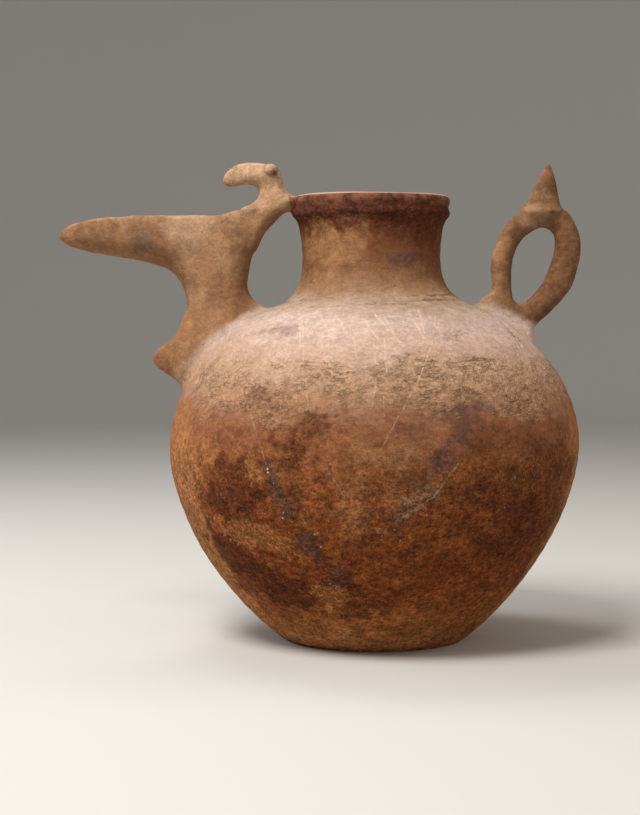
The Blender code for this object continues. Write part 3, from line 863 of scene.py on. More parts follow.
# %% Flakes, pits, drag marks and cracks
GROOVES = [
    ([(20, 255.3), (40, 255.5), (68, 256.3)], 0.9, 0.60),
    ([(14, 251.5), (38, 252.0), (62, 252.3)], 1.0, 0.70),
    ([(-6, 249.5), (4, 249.0), (17, 249.6)], 0.9, 0.40),
    ([(-53, 252.0), (-38, 253.5), (-27, 254)], 0.9, 0.35),
    ([(-39, 247), (-24, 248.4), (-8, 249)], 0.9, 0.30),
    ([(-27, 210), (-21, 209), (-14, 209)], 0.9, 0.50), ([(-24, 207), (-20, 207)], 0.8, 0.40),
    ([(4, 214), (10, 211), (18, 210)], 1.0, 0.55), ([(21, 209), (30, 210), (39, 210)], 1.1, 0.60),
    ([(22, 228), (36, 229)], 0.9, 0.30), ([(100, 253), (140, 252), (176, 253)], 0.9, 0.5),
    ([(-120, 251), (-165, 250)], 0.9, 0.4), ([(120, 209), (150, 211)], 0.9, 0.4),
]
CRACKS = [
    ([(42, 111), (37, 108), (35, 101), (38, 86), (43, 69), (38, 65)], 0.9, 0.45),
    ([(20, 103), (29, 99)], 0.9, 0.35), ([(-4, 19.5), (6, 19.0), (16, 20)], 0.9, 0.50),
    ([(76, 241), (68, 234), (63, 226), (58, 214)], 0.9, 0.50),
    ([(172, 92), (158, 84), (150, 66)], 0.9, 0.35), ([(-130, 21), (-108, 19)], 0.9, 0.35),
]
FLAKE, FINE_FLAKE, PIT, LUTED_PIT = 0.45 * MM, 0.20 * MM, 0.40 * MM, 0.22 * MM      # depths


def weathering(place):
    """Metres outwards, all of it a loss of clay: flakes, pits, drag marks and cracks."""
    loss = np.zeros(len(place.points))
    near = np.flatnonzero(rough > 0.0)
    flat = place.points[near] * [1.0, 1.0, 2.2]
    flakes = smoothstep(-0.15, 0.55, fractal(flat, 6.0 * MM, 61, 3))
    loss[near] = rough[near] * (FLAKE * flakes + FINE_FLAKE * fractal(flat, 3.0 * MM, 65, 2))
    loss += PIT * pits(place.points, 9 * MM, 71, 0.35, 1.9 * MM) * (0.35 + 0.65 * rough) * place.wall
    loss += LUTED_PIT * pits(place.points, 11 * MM, 72, 0.22, 1.8 * MM) * place.luted
    broken = smoothstep(-0.6, 0.1, fractal(place.points, 9 * MM, 81, 2))
    for number, (spots, width, depth) in enumerate(GROOVES):
        loss += depth * MM * broken * line(place, spots, width, seed=3 * number, wander=0.4)
    for number, (spots, width, depth) in enumerate(CRACKS):
        loss += depth * MM * line(place, spots, width, seed=50 + 3 * number)
    return -loss


push[outer_points] += weathering(outer)
points = points + push[:, None] * normals(points)
print("weathering reaches", round(-push.min() / MM, 2), "mm deep")

# %% [markdown]
# ## Back into the mesh
#
# The vessel still has to fit the solid's box and stand flat. Its points are held inside the
# box, and those of the foot go down to the ground. A collapse Decimate then spends the faces
# where the surface bends, so the plain inside of the jar costs little.

# %% Fitting, thinning and shading
FACE_LIMIT = 198_000
MARGIN = 0.05 * MM
FOOT_BAND = 1.2 * MM         # points this low that face down rest on the ground

points = np.clip(points, np.array(cad_low) + MARGIN, np.array(cad_high) - MARGIN)
foot_points = (points[:, 2] < FOOT_BAND) & (normals(points)[:, 2] < -0.7)
points[foot_points, 2] = cad_low[2]
jar.data.vertices.foreach_set("co", points.astype(np.float32).ravel())
jar.data.update()
triangles = sum(len(face.vertices) - 2 for face in jar.data.polygons)
applied(jar, "DECIMATE", decimate_type="COLLAPSE", ratio=FACE_LIMIT / triangles)
jar.data.shade_smooth()
print("thinned from", triangles, "to", len(jar.data.polygons), "triangles")

# %% [markdown]
# ## Masks for the finish
#
# The finish needs to know where fire and soil darkened the belly, where shade and light are
# painted, where the skin is rough and which forms are luted on. Each is worked out once per
# point and kept as a named attribute of the mesh, from 0 to 1. Each stain has a seed, a
# softness and its patches, whose rows give angle, height, half width, half height, tilt and
# strength.

# %% Masks
where = Place(read(jar.data.vertices, "co", 3).astype(float))
rough = rough_band(where)


def store(name, values):
    """Keep one number for each point of the mesh under a name."""
    layer = jar.data.attributes.new(name, "FLOAT", "POINT")
    layer.data.foreach_set("value", np.clip(values, 0.0, 1.0).astype(np.float32))


def patches(rows, seed, soft):
    """The strongest of a list of patches at each point."""
    total = np.zeros(len(where.points))
    for number, (angle, height, wide, tall, tilt, strength) in enumerate(rows):
        found = patch(where, angle, height, wide, tall, tilt, soft=soft, seed=seed + number)
        total = np.maximum(total, strength * found)
    return total


PATCHES = {
    "shade": (110, 0.9, [
        # Painted shade: the belly's right side, its back and the neck's edges are darker where less light
        # falls; the rows at 28, 6 and 23 degrees darken real dark patches of crust.
        (46, 104, 62, 52, 0, 0.9), (30, 70, 60, 30, 0, 0.5), (28, 152, 26, 15, 0, 0.6),
        (6, 133, 24, 13, 0, 0.6), (23, 190, 17, 8, 0, 0.5), (50, 306, 22, 17, 0, 1.0),
        (-60, 310, 22, 12, 0, 0.8), (20, 170, 30, 14, 30, 0.35), (140, 120, 50, 50, 0, 0.7),
        (-150, 308, 30, 14, 0, 0.8),
    ]),
    "dark_red": (10, 0.35, [
        # The row at 44 degrees and 92 mm also darkens the belly's right side as painted shade.
        (-42, 118, 26, 24, 10, 1.0), (-24, 150, 26, 14, 20, 0.6), (-47, 66, 34, 17, -38, 0.9),
        (-27, 47, 26, 11, -15, 1.0), (-8, 44, 26, 14, 0, 0.6), (14, 62, 44, 20, 0, 0.3),
        (44, 92, 34, 26, 0, 0.6), (-16, 172, 16, 8, -10, 0.6), (-34, 184, 22, 7, -12, 0.6),
        (150, 90, 60, 40, 10, 1.0), (-150, 60, 50, 24, 0, 0.9), (110, 120, 40, 40, 0, 0.7),
    ]),
    "tan": (30, 0.35, [
        (-35, 138, 8, 13, 25, 0.9), (-28, 148, 15, 4, 0, 0.7), (-42, 90, 26, 10, -10, 1.0),
        (-30, 84, 22, 9, -30, 0.8), (-17, 47, 13, 12, 30, 0.9), (-21, 101, 9, 6, -20, 0.8),
        (168, 130, 30, 16, 15, 0.8), (-140, 110, 26, 40, 0, 0.7), (120, 60, 24, 12, 20, 0.8),
    ]),
    "grey": (50, 0.6, [
        (-29, 132, 7, 16, 15, 0.9), (-26, 112, 8, 14, 25, 0.9), (-20, 86, 9, 14, 35, 0.9),
        (-13, 62, 10, 9, 20, 0.8), (160, 110, 12, 26, 20, 0.7), (-160, 150, 14, 12, 0, 0.6),
    ]),
    "purple": (70, 0.8, [
        (23, 176, 17, 13, 10, 0.8), (16, 145, 9, 8, 30, 1.0), (22, 158, 16, 12, 40, 0.5),
        (-40, 230, 26, 6, -4, 0.45), (8, 160, 24, 30, 0, 0.35), (28, 282, 16, 6, 0, 0.7),
        (-96, 190, 20, 12, 0, 0.6), (130, 176, 24, 12, 0, 0.7),
    ]),
    "ash": (80, 0.7, [
        (10, 118, 9, 26, -50, 0.9), (3, 96, 9, 16, -45, 0.6), (40, 130, 14, 26, 0, 0.4),
        (-166, 96, 12, 24, -30, 0.7),
    ]),
    "gold": (90, 0.8, [
        (-46, 292, 27, 17, 0, 1.0), (-14, 294, 14, 16, 0, 0.8), (-18, 186, 26, 7, 0, 0.6),
        (0, 150, 40, 26, 0, 0.5), (-6, 110, 26, 24, 0, 0.5), (178, 286, 20, 10, 0, 0.8),
    ]),
}
store("rough", rough)
for name, (seed, soft, rows) in PATCHES.items():
    store(name, patches(rows, seed, soft))
RIM_JOINT = 4 * MM           # how far the jar's tones reach up a luted form
SHOULDER_JOINT = 20 * MM
MORE_AT_HANDLE = 14 * MM
handle_side = smoothstep(55.0, 75.0, where.angle) * smoothstep(125.0, 105.0, where.angle)
handle_side = MORE_AT_HANDLE * handle_side * smoothstep(300 * MM, 280 * MM, where.height)
joint = np.where(where.height > 290 * MM, RIM_JOINT, SHOULDER_JOINT) + handle_side
joint = np.maximum(joint + 4 * MM * fractal(where.points, 12 * MM, 97, 3), 1 * MM)
luted_tones = np.where(where.height > RIM_HEIGHT, 1.0, smoothstep(0.15, 1.0, where.out / joint))
store("luted", luted_tones)
store("inside", where.inside)
# Painted light: both flanks of the belly are lighter, where light from the sides falls on them.
lit_flank = smoothstep(53.0, 68.0, np.abs(where.angle - 6.0 + 6.0 * fractal(where.points, 30 * MM, 95, 3)))
store("lit_flank", lit_flank * smoothstep(204 * MM, 156 * MM, where.height) * where.wall)
print("masks:", ", ".join(layer.name for layer in jar.data.attributes if layer.data_type == "FLOAT"))

# %% [markdown]
# ## The finish
#
# Coarse fired clay: matt, porous and never one colour. Smoke and soil left it pale on the
# shoulder and dark on the lower belly; under the lip it is nearly black-brown, and at the very
# foot it is lighter as painted light on the foot's edge. So a ramp over the height lays the
# main tones first, and its height is shifted by noise to let them wander.
# One small function adds every node, and the settings that recur have names of their own.

# %% Colours and a helper for nodes
TIMES, PLUS, LESS = ({"operation": kind} for kind in ("MULTIPLY", "ADD", "SUBTRACT"))
TIMES_PLUS = {"operation": "MULTIPLY_ADD"}
MOST = {"operation": "MAXIMUM"}
SCALE = {"operation": "SCALE"}
FADE = {"interpolation_type": "SMOOTHSTEP"}
COLOURS = {"data_type": "RGBA", "output": 2}         # a Mix node's colours are inputs 6 and 7


def linear(hex_colour):
    """Each channel c over 255 becomes ((c + 0.055) / 1.055) ^ 2.4, or c / 12.92 when dark."""
    channels = [int(hex_colour[i:i + 2], 16) / 255 for i in (1, 3, 5)]
    return [c / 12.92 if c <= 0.04045 else ((c + 0.055) / 1.055) ** 2.4 for c in channels] + [1.0]


def add(kind, *values, inputs=None, output=0, **settings):
    """Add a node with its settings, fill or link its inputs, and return one of its outputs.

    Values go into the node's inputs in order, and inputs= gives others by name or number. Each
    is a number, a vector, a colour's hex code or another node's output.
    """
    node = tree.nodes.new("ShaderNode" + kind)
    for name, value in settings.items():
        setattr(node, name, value)
    for name, value in [*enumerate(values), *(inputs or {}).items()]:
        if isinstance(value, bpy.types.NodeSocket):
            tree.links.new(value, node.inputs[name])
        else:
            node.inputs[name].default_value = linear(value) if isinstance(value, str) else value
    return node.outputs[output]


material = bpy.data.materials.new("weathered_coarse_clay_smoothed_and_fired")
material.use_nodes = True
tree = material.node_tree
shader = tree.nodes["Principled BSDF"]
place = add("TexCoord", output="Object")
split = add("SeparateXYZ", place).node.outputs
masks = {layer.name: add("Attribute", attribute_name=layer.name, output="Fac")
         for layer in jar.data.attributes if layer.data_type == "FLOAT"}
not_luted = add("Math", 1.0, masks["luted"], **LESS)


# %% Patterns that the finish is made of
def grain(size, detail=3.0, roughness=0.6, squeeze=1.0, distortion=0.0):
    """Noise with features of a size in millimetres, flattened in height by the squeeze."""
    spread = add("Mapping", place, inputs={"Scale": (1.0, 1.0, squeeze)})
    return add("TexNoise", spread, inputs={"Scale": 1.0 / (size * MM), "Detail": detail,
                                           "Roughness": roughness, "Distortion": distortion})


def swing(amount, *settings):
    """The amount times the noise less a half, so that it goes both ways."""
    return add("Math", add("Math", grain(*settings), 0.5, **LESS), amount, **TIMES)


def patchy(settings, low, high, to_low=0.0, to_high=1.0):
    """Noise steepened between two of its values."""
    return add("MapRange", grain(*settings), low, high, to_low, to_high, **FADE)


def zone(axis, start, full):
    """0 before the start and 1 past the full place on an axis, both in millimetres."""
    return add("MapRange", split[axis], start * MM, full * MM, **FADE)


def painted(base, tone, found, strength=1.0):
    """Lay a tone over a colour by the strength times a mask."""
    factor = add("Math", found, strength, **TIMES)
    return add("Mix", factor, inputs={6: base, 7: tone}, **COLOURS)


def mottled(size, dark, light):
    """Two close tones that take turns in spots of a size in millimetres."""
    return painted(dark, light, patchy((size, 5.0, 0.65), 0.36, 0.64))


# %% The ramp over the height
TOP = 340.0                  # millimetres, where the ramp ends
# The tones from 0 to 22 mm are lighter as painted light on the foot's lower edge.
TONES_BY_HEIGHT = [
    (0, "#ab7146"), (12, "#98613a"), (22, "#88542c"), (36, "#7e4925"), (56, "#70391a"), (100, "#733e1e"),
    (140, "#7b4a2b"), (166, "#805238"), (184, "#967058"), (202, "#a4856d"), (218, "#ae9282"),
    (236, "#b59e93"), (248, "#a38c7b"), (260, "#8f6e54"), (274, "#7e5a3e"), (288, "#744a31"),
    (300, "#643b27"), (310, "#512b1b"), (322, "#48271c"), (333, "#4a2d22"),
]


def height_tones():
    """Colour by height over the top, with the height shifted by wide and by small noise."""
    shifted = add("Math", split["Z"], swing(34 * MM, 48.0, 3.0), **PLUS)
    shifted = add("Math", shifted, swing(24 * MM, 9.0, 6.0, 0.7, 1.6), **PLUS)
    tones = add("ValToRGB", add("Math", shifted, TOP * MM, operation="DIVIDE"))
    elements = tones.node.color_ramp.elements
    elements[1].position = 1.0
    for height, tone in TONES_BY_HEIGHT[1:-1]:
        elements.new(height / TOP).color = linear(tone)
    for end in (0, -1):
        elements[end].color = linear(TONES_BY_HEIGHT[end][1])
    return tones


colour = height_tones()
print("the ramp has", len(TONES_BY_HEIGHT), "tones")

# %% [markdown]
# ## Stains, painted shade and painted light
#
# Each stain lies on the ramp through its mask. Noise is added to the mask before it is
# steepened, so a stain ends in crumbs instead of a blur. Steep ones look flaked, soft ones
# look like smoke that went into the clay. Two rows are painted light, not stains: the shade
# mask darkens where less light falls, and the flank mask lightens both flanks. A stain's row
# gives the size of its crumbs, the amount of noise, the range that is steepened, two tones
# and the strength.

# %% Stains on the body
BLOTCHES = [((15.0, 9.0, 0.74, 1.3), 0.50, 0.60, "#45200f"), ((9.0, 8.0, 0.72, 1.2), 0.54, 0.63, "#925f35")]
STAINS = [
    # The flank row paints light on both flanks.
    ("lit_flank", 8.0, 0.8, 0.30, 0.70, "#8f5c35", "#a16f45", 0.72),
    ("gold", 14.0, 0.7, 0.20, 0.80, "#8d6343", "#a37a56", 0.62),
    ("dark_red", 5.0, 1.3, 0.32, 0.70, "#3b1908", "#542912", 0.70),
    ("tan", 5.0, 1.9, 0.36, 0.86, "#84522b", "#9a663c", 0.66),
    ("grey", 5.0, 1.5, 0.35, 0.85, "#352720", "#50403a", 0.60),
    ("purple", 9.0, 0.9, 0.15, 0.75, "#4f342f", "#63463f", 0.72),
    # The shade row is painted shade, dark umber where less light falls.
    ("shade", 14.0, 0.8, 0.15, 0.90, "#3f1f09", "#562a0b", 0.52),
    ("ash", 5.0, 1.5, 0.35, 0.90, "#604939", "#7c6450", 0.50),
    ("rough", 5.0, 0.9, 0.25, 0.75, "#957152", "#a98566", 0.35),
]
BLOTCH_STRENGTH = 0.42


def crumbled(stored, size, amount, low, high):
    """A stored mask plus noise, steepened, so that its edge breaks up."""
    ragged = add("Math", stored, swing(amount, size, 6.0, 0.7), **PLUS)
    steep = add("MapRange", ragged, low, high, **FADE)
    return add("Math", steep, add("MapRange", stored, 0.02, 0.30, **FADE), **TIMES)


low_belly = add("Math", zone("Z", 24, 52), zone("Z", 200, 160), **TIMES)
for settings, low, high, tone in BLOTCHES:
    found = add("Math", patchy(settings, low, high), low_belly, **TIMES)
    colour = painted(colour, tone, found, BLOTCH_STRENGTH)
for name, size, amount, low, high, dark, light, strength in STAINS:
    found = crumbled(masks[name], size, amount, low, high)
    colour = painted(colour, mottled(0.6 * size, dark, light), found, strength)
print("stains:", ", ".join(stain[0] for stain in STAINS))

# %% [markdown]
# ## Luted forms
#
# The spout, bird and handle are a warm beige of their own. Zones along an axis paint light
# and shade on it: lighter on the topmost parts, darker to the beak's tip, on the lower parts
# and on the handle. Round spots near given points make it lighter or darker, some of them as
# painted light and shade by the spout's joint and on the finial. The rings round the eye
# measure their distance in X and Z only, so they lie alike on the pellet and the head; the
# outer ring and the hollow's spot are painted shade.

# %% Luted forms and the inside
# Painted light and shade: darker to the beak's tip, on the lower parts, the handle and the finial; lighter
# on the topmost parts, where light from above falls.
LUTED_LIGHT_AND_SHADE_ZONES = [
    ("X", -120, -165, 0.55, 8.0, "#6d4830", "#835d42"), ("Z", 262, 222, 0.55, 9.0, "#784e33", "#8c6346"),
    ("Z", 300, 335, 0.70, 6.0, "#a08062", "#bb9c80"), ("X", 84, 108, 0.82, 7.0, "#563724", "#725037"),
]
# The spot at x -0.096 is a painted shadow by the spout's joint, the one at 0.119 painted light on the
# finial's foot and the one at 0.134 painted shade on its right side; the other three lighten or darken the
# beige.
LUTED_SPOTS_WITH_LIGHT_AND_SHADE = [
    ((-0.170, -0.014, 0.297), 17, "#55463f", 0.55), ((-0.138, -0.016, 0.304), 24, "#b49579", 0.55),
    ((-0.096, -0.020, 0.246), 18, "#6b482f", 0.60), ((0.119, -0.009, 0.314), 16, "#a98467", 0.45),
    ((0.134, -0.004, 0.338), 13, "#5c3b26", 0.60), ((-0.090, -0.010, 0.350), 14, "#b3937a", 0.40),
]
EYE = (-0.0765, 0.0, 0.3500)
HOLLOW = (-0.0733, 0.0, 0.3464)
# The outer ring round the pellet and the spot in the hollow are painted shade.
EYE_RINGS = [(EYE, 6.4, "#7a5844", 0.60), (EYE, 4.9, "#b28f78", 0.75), (HOLLOW, 2.3, "#5e3a28", 0.65)]
FRONT_VIEW = (1.0, 0.0, 1.0)


def spotted(base, rows, position, core, edge=0.0):
    """Paint round spots, full up to the core's share of the radius and gone at the radius."""
    for spot, radius, tone, strength in rows:
        apart = add("VectorMath", position, spot, operation="DISTANCE", output="Value")
        apart = add("Math", edge, radius * MM, apart, **TIMES_PLUS)
        found = add("MapRange", apart, radius * MM, core * radius * MM, **FADE)
        base = painted(base, tone, found, strength)
    return base


luted_tone = mottled(13.0, "#876448", "#a17c5b")
luted_tone = painted(luted_tone, "#7d4f33", patchy((26.0, 5.0, 0.65), 0.50, 0.66), 0.6)
for axis, start, full, strength, size, dark, light in LUTED_LIGHT_AND_SHADE_ZONES:
    luted_tone = painted(luted_tone, mottled(size, dark, light), zone(axis, start, full), strength)
luted_tone = spotted(luted_tone, LUTED_SPOTS_WITH_LIGHT_AND_SHADE, place, 0.3, swing(0.8, 9.0, 4.0))
flat_place = add("VectorMath", place, FRONT_VIEW, **TIMES)
luted_tone = spotted(luted_tone, EYE_RINGS, flat_place, 0.7)
colour = painted(colour, luted_tone, add("MapRange", masks["luted"], 0.0, 0.85, **FADE))
colour = painted(colour, mottled(12.0, "#543421", "#6c4830"), masks["inside"])
print("luted forms have", len(LUTED_LIGHT_AND_SHADE_ZONES), "zones and", len(LUTED_SPOTS_WITH_LIGHT_AND_SHADE) + len(EYE_RINGS), "spots")

# %% [markdown]
# ## Scratches, grooves and specks
#
# A tool or a root dragged over the shoulder leaves a pale hairline. Seen from the front, each is
# a straight stroke in X and Z, so its mask is the distance from the stroke, cut off at its
# width. Nodes work it out exactly, which keeps hairlines much finer than the mesh. A row gives
# the angle and height of both ends, the half width and the strength.

# %% Strokes on the front
SCRATCHES = [
    (-36, 240, -27, 221, 1.0, 0.6), (-33, 238, -23, 207, 0.8, 0.4), (-23, 207, -19, 180, 0.7, 0.3),
    (-25, 240, -14, 220, 1.0, 0.5), (-18, 241, -10, 225, 1.0, 0.5), (-19, 221, -16, 209, 0.9, 0.4),
    (-1, 242, 9, 219, 1.3, 0.8), (-6, 239, 0, 225, 1.2, 0.6), (10, 241, 11, 231, 1.1, 0.6),
    (15, 244, 16, 226, 1.2, 0.7), (21, 246, 17, 230, 1.0, 0.6), (28, 243, 19, 225, 0.8, 0.5),
    (-2, 226, -1, 209, 0.9, 0.5), (2, 225, 2, 202, 1.0, 0.6), (-9, 227, -7, 213, 0.9, 0.4),
    (-4, 209, -4, 198, 0.8, 0.4), (-1, 198, -2, 181, 0.8, 0.4), (1, 188, 1, 174, 0.7, 0.35),
    (19, 224, 11, 198, 0.75, 0.75), (11, 198, 5, 175, 0.75, 0.65), (5, 175, 0, 152, 0.65, 0.45),
    (-12, 133, -9, 120, 0.6, 0.25), (-6, 143, -4, 126, 0.6, 0.22), (-42, 191, -36, 174, 0.6, 0.35),
    (-36, 174, -30, 141, 0.7, 0.30), (29, 215, 21, 192, 0.7, 0.3), (20, 142, 14, 120, 0.9, 0.40),
    (14, 120, 6, 106, 0.9, 0.30), (3, 240, 6, 228, 1.4, 0.4), (-12, 240, -9, 230, 1.2, 0.4),
]
DRAGS = [
    (22, 254.9, 42, 255.8, 0.7, 0.6), (40, 255.5, 67, 256.4, 0.9, 1.0),
    (12, 251.0, 32, 251.8, 0.7, 0.45), (30, 252.2, 63, 252.6, 1.0, 1.0),
    (-6, 249.5, 17, 249.6, 0.8, 0.7), (-39, 247.0, -8, 249.0, 0.8, 0.5),
    (-53, 252.0, -27, 254.0, 0.8, 0.5), (-27, 210, -20, 209.5, 1.0, 0.6),
    (-24, 207, -18, 207, 0.9, 0.5), (4, 214, 10, 211, 1.1, 0.5), (11, 211.5, 18, 210, 1.0, 0.6),
    (21, 209, 30, 210, 1.0, 0.5), (31, 211, 39, 210.5, 1.3, 0.8), (27, 227, 36, 229, 0.9, 0.4),
    (42, 111, 35, 101, 1.2, 0.5), (35, 101, 43, 69, 1.6, 0.6), (20, 103, 31, 99, 1.2, 0.4),
    (76, 241, 63, 226, 0.9, 0.8), (-4, 19.5, 16, 19.5, 0.9, 0.8),
]
bend = add("TexNoise", place, inputs={"Scale": 1.0 / (7 * MM), "Detail": 2.0}, output="Color")
bend = add("VectorMath", bend, (0.5, 0.5, 0.5), **LESS)
bend = add("VectorMath", bend, inputs={"Scale": 1.6 * MM}, **SCALE)
bent_place = add("VectorMath", add("VectorMath", place, bend, **PLUS), FRONT_VIEW, **TIMES)


def stroke(start_angle, start_height, end_angle, end_height, width, strength):
    """Its strength on a straight stroke, seen from the front, and 0 from its half width on."""
    start = on_wall(start_angle, start_height * MM) * FRONT_VIEW
    step = on_wall(end_angle, end_height * MM) * FRONT_VIEW - start
    offset = add("VectorMath", bent_place, tuple(start), **LESS)
    share = add("VectorMath", offset, tuple(step / (step @ step)), operation="DOT_PRODUCT", output="Value")
    reach = add("VectorMath", tuple(step), inputs={"Scale": add("Clamp", share)}, **SCALE)
    distance = add("VectorMath", offset, reach, operation="DISTANCE", output="Value")
    return add("MapRange", distance, width * MM, 0.15 * width * MM, 0.0, strength, **FADE)


def strongest(strokes):
    """The largest of many masks, on the front only and not on luted clay."""
    total = stroke(*strokes[0])
    for row in strokes[1:]:
        total = add("Math", total, stroke(*row), **MOST)
    total = add("Math", total, zone("Y", -20, -35), **TIMES)
    return add("Math", total, not_luted, **TIMES)


scratches = add("Math", strongest(SCRATCHES), patchy((5.0, 5.0, 0.7), 0.40, 0.60, 0.10, 1.0), **TIMES)
drags = add("Math", strongest(DRAGS), patchy((6.0, 5.0, 0.7), 0.40, 0.56, 0.05, 1.0), **TIMES)
print(len(SCRATCHES), "scratches and", len(DRAGS), "drag marks")

# %% Specks of grit
def specks(cell, radius, share):
    """Dots round the points of a cell texture, in the share of the cells that is drawn."""
    distance = add("TexVoronoi", place, inputs={"Scale": 1.0 / (cell * MM)})
    drawn = add("SeparateColor", distance.node.outputs["Color"])
    reach = add("Math", drawn, radius / cell, **TIMES)
    dot = add("Math", reach, distance, operation="GREATER_THAN")
    return add("Math", dot, add("Math", drawn, 1.0 - share, operation="GREATER_THAN"), **TIMES)


streaks = add("Math", masks["ash"], masks["grey"], **MOST)
pale_share = add("Math", streaks, 0.8, 0.07, **TIMES_PLUS)
fewer_on_luted = add("Math", masks["luted"], -0.8, 1.0, **TIMES_PLUS)
pale_specks = add("Math", specks(3.6, 0.75, 0.22), pale_share, **TIMES)
pale_specks = add("Math", pale_specks, fewer_on_luted, **TIMES)
dark_specks = specks(7.0, 0.9, 0.30)
print("specks of grit 0.75 and 0.9 mm in reach")

# %% [markdown]
# ## Relief and the last tones
#
# Fine and medium grain make the clay gritty, level strokes are left by wet hands, and creases
# tear the flaked skin. The same patterns vary the colour, more where it is dark. Small marks
# come last, each a mask with a strength and a tone.

# %% Patterns of the surface
fine = grain(1.5, 4.0, 0.7)
medium = grain(4.5, 5.0, 0.65, 1.5)
level_marks = grain(9.0, 4.0, 0.6, 9.0)
creases = add("Math", swing(1.0, 7.5, 3.0, 0.55, 2.4, 0.8), operation="ABSOLUTE")
creases = add("MapRange", creases, 0.0, 0.07, **FADE)
flaked = add("MapRange", masks["rough"], 0.05, 0.7, **FADE)
broken_skin = add("Math", flaked, patchy((11.0, 4.0, 0.6, 1.5), 0.42, 0.60, 0.15, 1.0), **TIMES)
torn = add("Math", creases, 0.5, grain(3.2, 4.0, 0.62, 1.8), **TIMES_PLUS)
torn = add("Math", torn, broken_skin, **TIMES)
dark_zone = add("Math", zone("Z", 176, 118), zone("Z", 294, 316), **MOST)
dark_zone = add("Math", dark_zone, not_luted, **TIMES)
contrast = add("Math", masks["rough"], 0.08, 0.15, **TIMES_PLUS)
contrast = add("Math", dark_zone, 0.32, contrast, **TIMES_PLUS)


def varied(base, pattern, strength):
    """Multiply a colour by 1 plus the strength times the pattern, which runs from -1 to 1."""
    both_ways = add("MapRange", pattern, 0.30, 0.70, -1.0, 1.0, **FADE)
    factor = add("Math", both_ways, strength, 1.0, **TIMES_PLUS)
    return add("VectorMath", base, inputs={"Scale": factor}, **SCALE)


for pattern, share in ((fine, 0.95), (medium, 1.0), (grain(13.0, 4.0, 0.6), 0.55)):
    colour = varied(colour, pattern, add("Math", contrast, share, **TIMES))

# %% Small marks
crease_shade = add("Math", add("Math", 1.0, creases, **LESS), broken_skin, **TIMES)
bare = add("MapRange", masks["luted"], 0.1, 0.5, 1.0, 0.0, **FADE)
rubbed = add("Math", zone("Z", 320, 324), bare, **TIMES)
rubbed = add("Math", rubbed, patchy((8.0, 5.0, 0.7), 0.40, 0.60, 0.10, 0.75), **TIMES)
# Painted highlight: a pale line along the top of the lip, where light from above falls.
lip_top_highlight = add("Math", zone("Z", 328.6, 329.6), bare, **TIMES)
lip_top_highlight = add("Math", lip_top_highlight, add("Math", split["Z"], 331.5 * MM, operation="LESS_THAN"), **TIMES)
MARKS = [
    (crease_shade, 0.40, "#573a28"), (drags, 0.65, "#5b4130"), (scratches, 0.75, "#dcc2ab"),
    (pale_specks, 1.0, "#d9bda2"), (dark_specks, 0.45, "#4a3022"), (rubbed, 1.0, "#85543d"),
    (lip_top_highlight, 0.85, "#b79d90"),
]
for found, strength, tone in MARKS:
    colour = painted(colour, tone, found, strength)

# %% Relief, and the material on the vessel
HEIGHTS = [(medium, 0.55), (level_marks, 0.25), (torn, 1.5), (drags, -0.9), (scratches, -0.25)]
relief = add("Math", fine, 0.34, **TIMES)
for pattern, height in HEIGHTS:
    relief = add("Math", pattern, height, relief, **TIMES_PLUS)
normal = add("Bump", inputs={"Strength": 1.0, "Distance": 0.7 * MM, "Height": relief})
matt = add("MapRange", fine, 0.2, 0.8, 0.96, 0.80, **FADE)
for name, value in (("Base Color", colour), ("Normal", normal), ("Roughness", matt)):
    tree.links.new(value, shader.inputs[name])
for name, value in (("Metallic", 0.0), ("IOR", 1.5), ("Specular IOR Level", 0.10)):
    shader.inputs[name].default_value = value

jar.data.materials.clear()
jar.data.materials.append(material)
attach(jar, "root")
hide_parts("spouted_vase")
print("the material has", len(tree.nodes), "nodes")

# %% [markdown]
# ## Studio
#
# A pale floor that sweeps up into a low round wall gives an even ground with no horizon line.
# One large soft light hangs high in front, a little to the left, as over a museum plinth.
# Two low ones behind draw light edges on both flanks, a high one behind does so along the top
# of the spout, and a weak one fills the front.

# %% Floor, lights and camera
def sweep(flat=2.6, bend=1.4, wall=0.6):
    """Rings that lie flat, then follow a quarter circle, then stand upright."""
    level = np.stack([np.linspace(0.05, flat, 30), np.zeros(30)], axis=1)
    curve = arc([flat, bend], bend, -90.0, 0.0, 24)
    upright = np.stack([np.full(3, flat + bend), bend + np.linspace(0.2, wall, 3)], axis=1)
    profile = np.vstack([level, curve[1:], upright])
    turn = np.linspace(0.0, 2 * math.pi, 96, endpoint=False)
    rings = np.stack([profile[:, :1] * np.cos(turn), profile[:, :1] * np.sin(turn),
                      profile[:, 1:] + 0.0 * turn], axis=-1)
    made = skin("floor", rings, ends=(0,))
    made.data.shade_smooth()
    return made


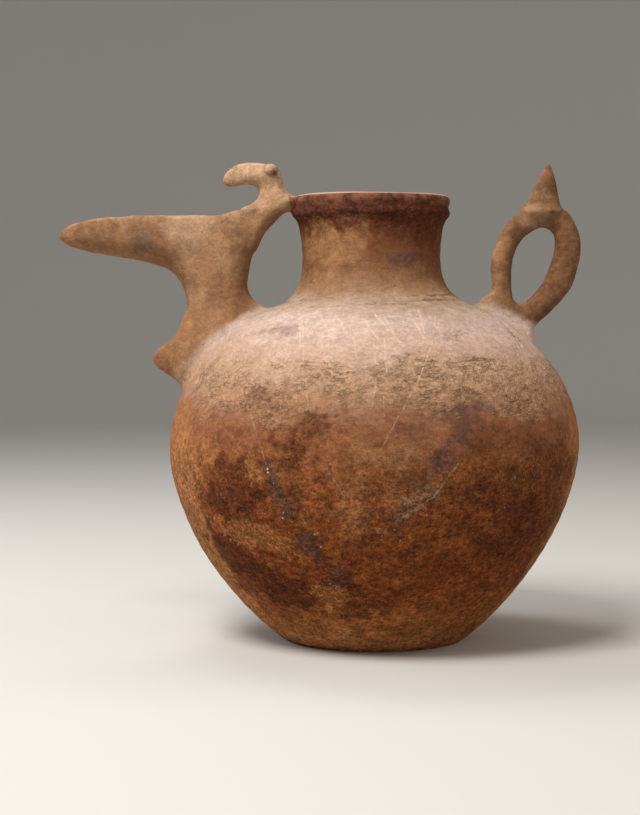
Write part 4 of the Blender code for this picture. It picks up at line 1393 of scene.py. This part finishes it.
floor = sweep()
paper = bpy.data.materials.new("pale_paper_sweep")
paper.use_nodes = True
paper_inputs = paper.node_tree.nodes["Principled BSDF"].inputs
paper_inputs["Base Color"].default_value = linear("#bfbebb")
paper_inputs["Roughness"].default_value = 0.95
floor.data.materials.append(paper)
floor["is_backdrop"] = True


def aimed(made, spot, target):
    """Put an object in a place and turn its -Z axis to a target."""
    made.location = spot
    step = np.asarray(target) - np.asarray(spot)
    flat = math.hypot(step[0], step[1])
    made.rotation_euler = (math.atan2(flat, -step[2]), 0.0, math.atan2(-step[0], step[1]))
    bpy.context.scene.collection.objects.link(made)


MIDDLE = (-0.02, 0.0, 0.19)


def softbox(name, spot, size, power, tint="#ffffff"):
    """A square area light aimed at the middle of the vessel."""
    lamp = bpy.data.lights.new(name, "AREA")
    lamp.size = size
    lamp.energy = power
    lamp.color = linear(tint)[:3]
    aimed(bpy.data.objects.new(name, lamp), spot, MIDDLE)


softbox("key", (-0.60, -0.85, 1.55), 0.60, 35.0, "#fffaf3")
softbox("fill", (0.9, -1.7, 0.6), 1.0, 3.5)
softbox("left_edge", (-1.5, 0.35, 0.75), 0.7, 9.0)
softbox("right_edge", (1.5, 0.35, 0.75), 0.7, 5.0, "#ffe6cd")
softbox("top_edge", (-0.45, 0.60, 1.50), 0.5, 8.0)
world = bpy.data.worlds.new("studio")
world.use_nodes = True
sky_inputs = world.node_tree.nodes["Background"].inputs
sky_inputs["Color"].default_value = linear("#ebe6df")
sky_inputs["Strength"].default_value = 0.40
bpy.context.scene.world = world

CAMERA_PLACE = (-0.040125, -1.35, 0.243225)
CAMERA_TARGET = (-0.040125, 0.0, 0.17235)
camera = bpy.data.objects.new("camera", bpy.data.cameras.new("camera"))
camera.data.lens = 79.62
camera.data.sensor_width = 36.0
camera.data.clip_end = 50.0
aimed(camera, CAMERA_PLACE, CAMERA_TARGET)
bpy.context.scene.camera = camera
bpy.context.scene.view_settings.view_transform = "Standard"

# %% Measuring and finishing
low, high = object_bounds()
print("the finished vessel measures", [round(1000 * side, 1) for side in high - low], "mm")
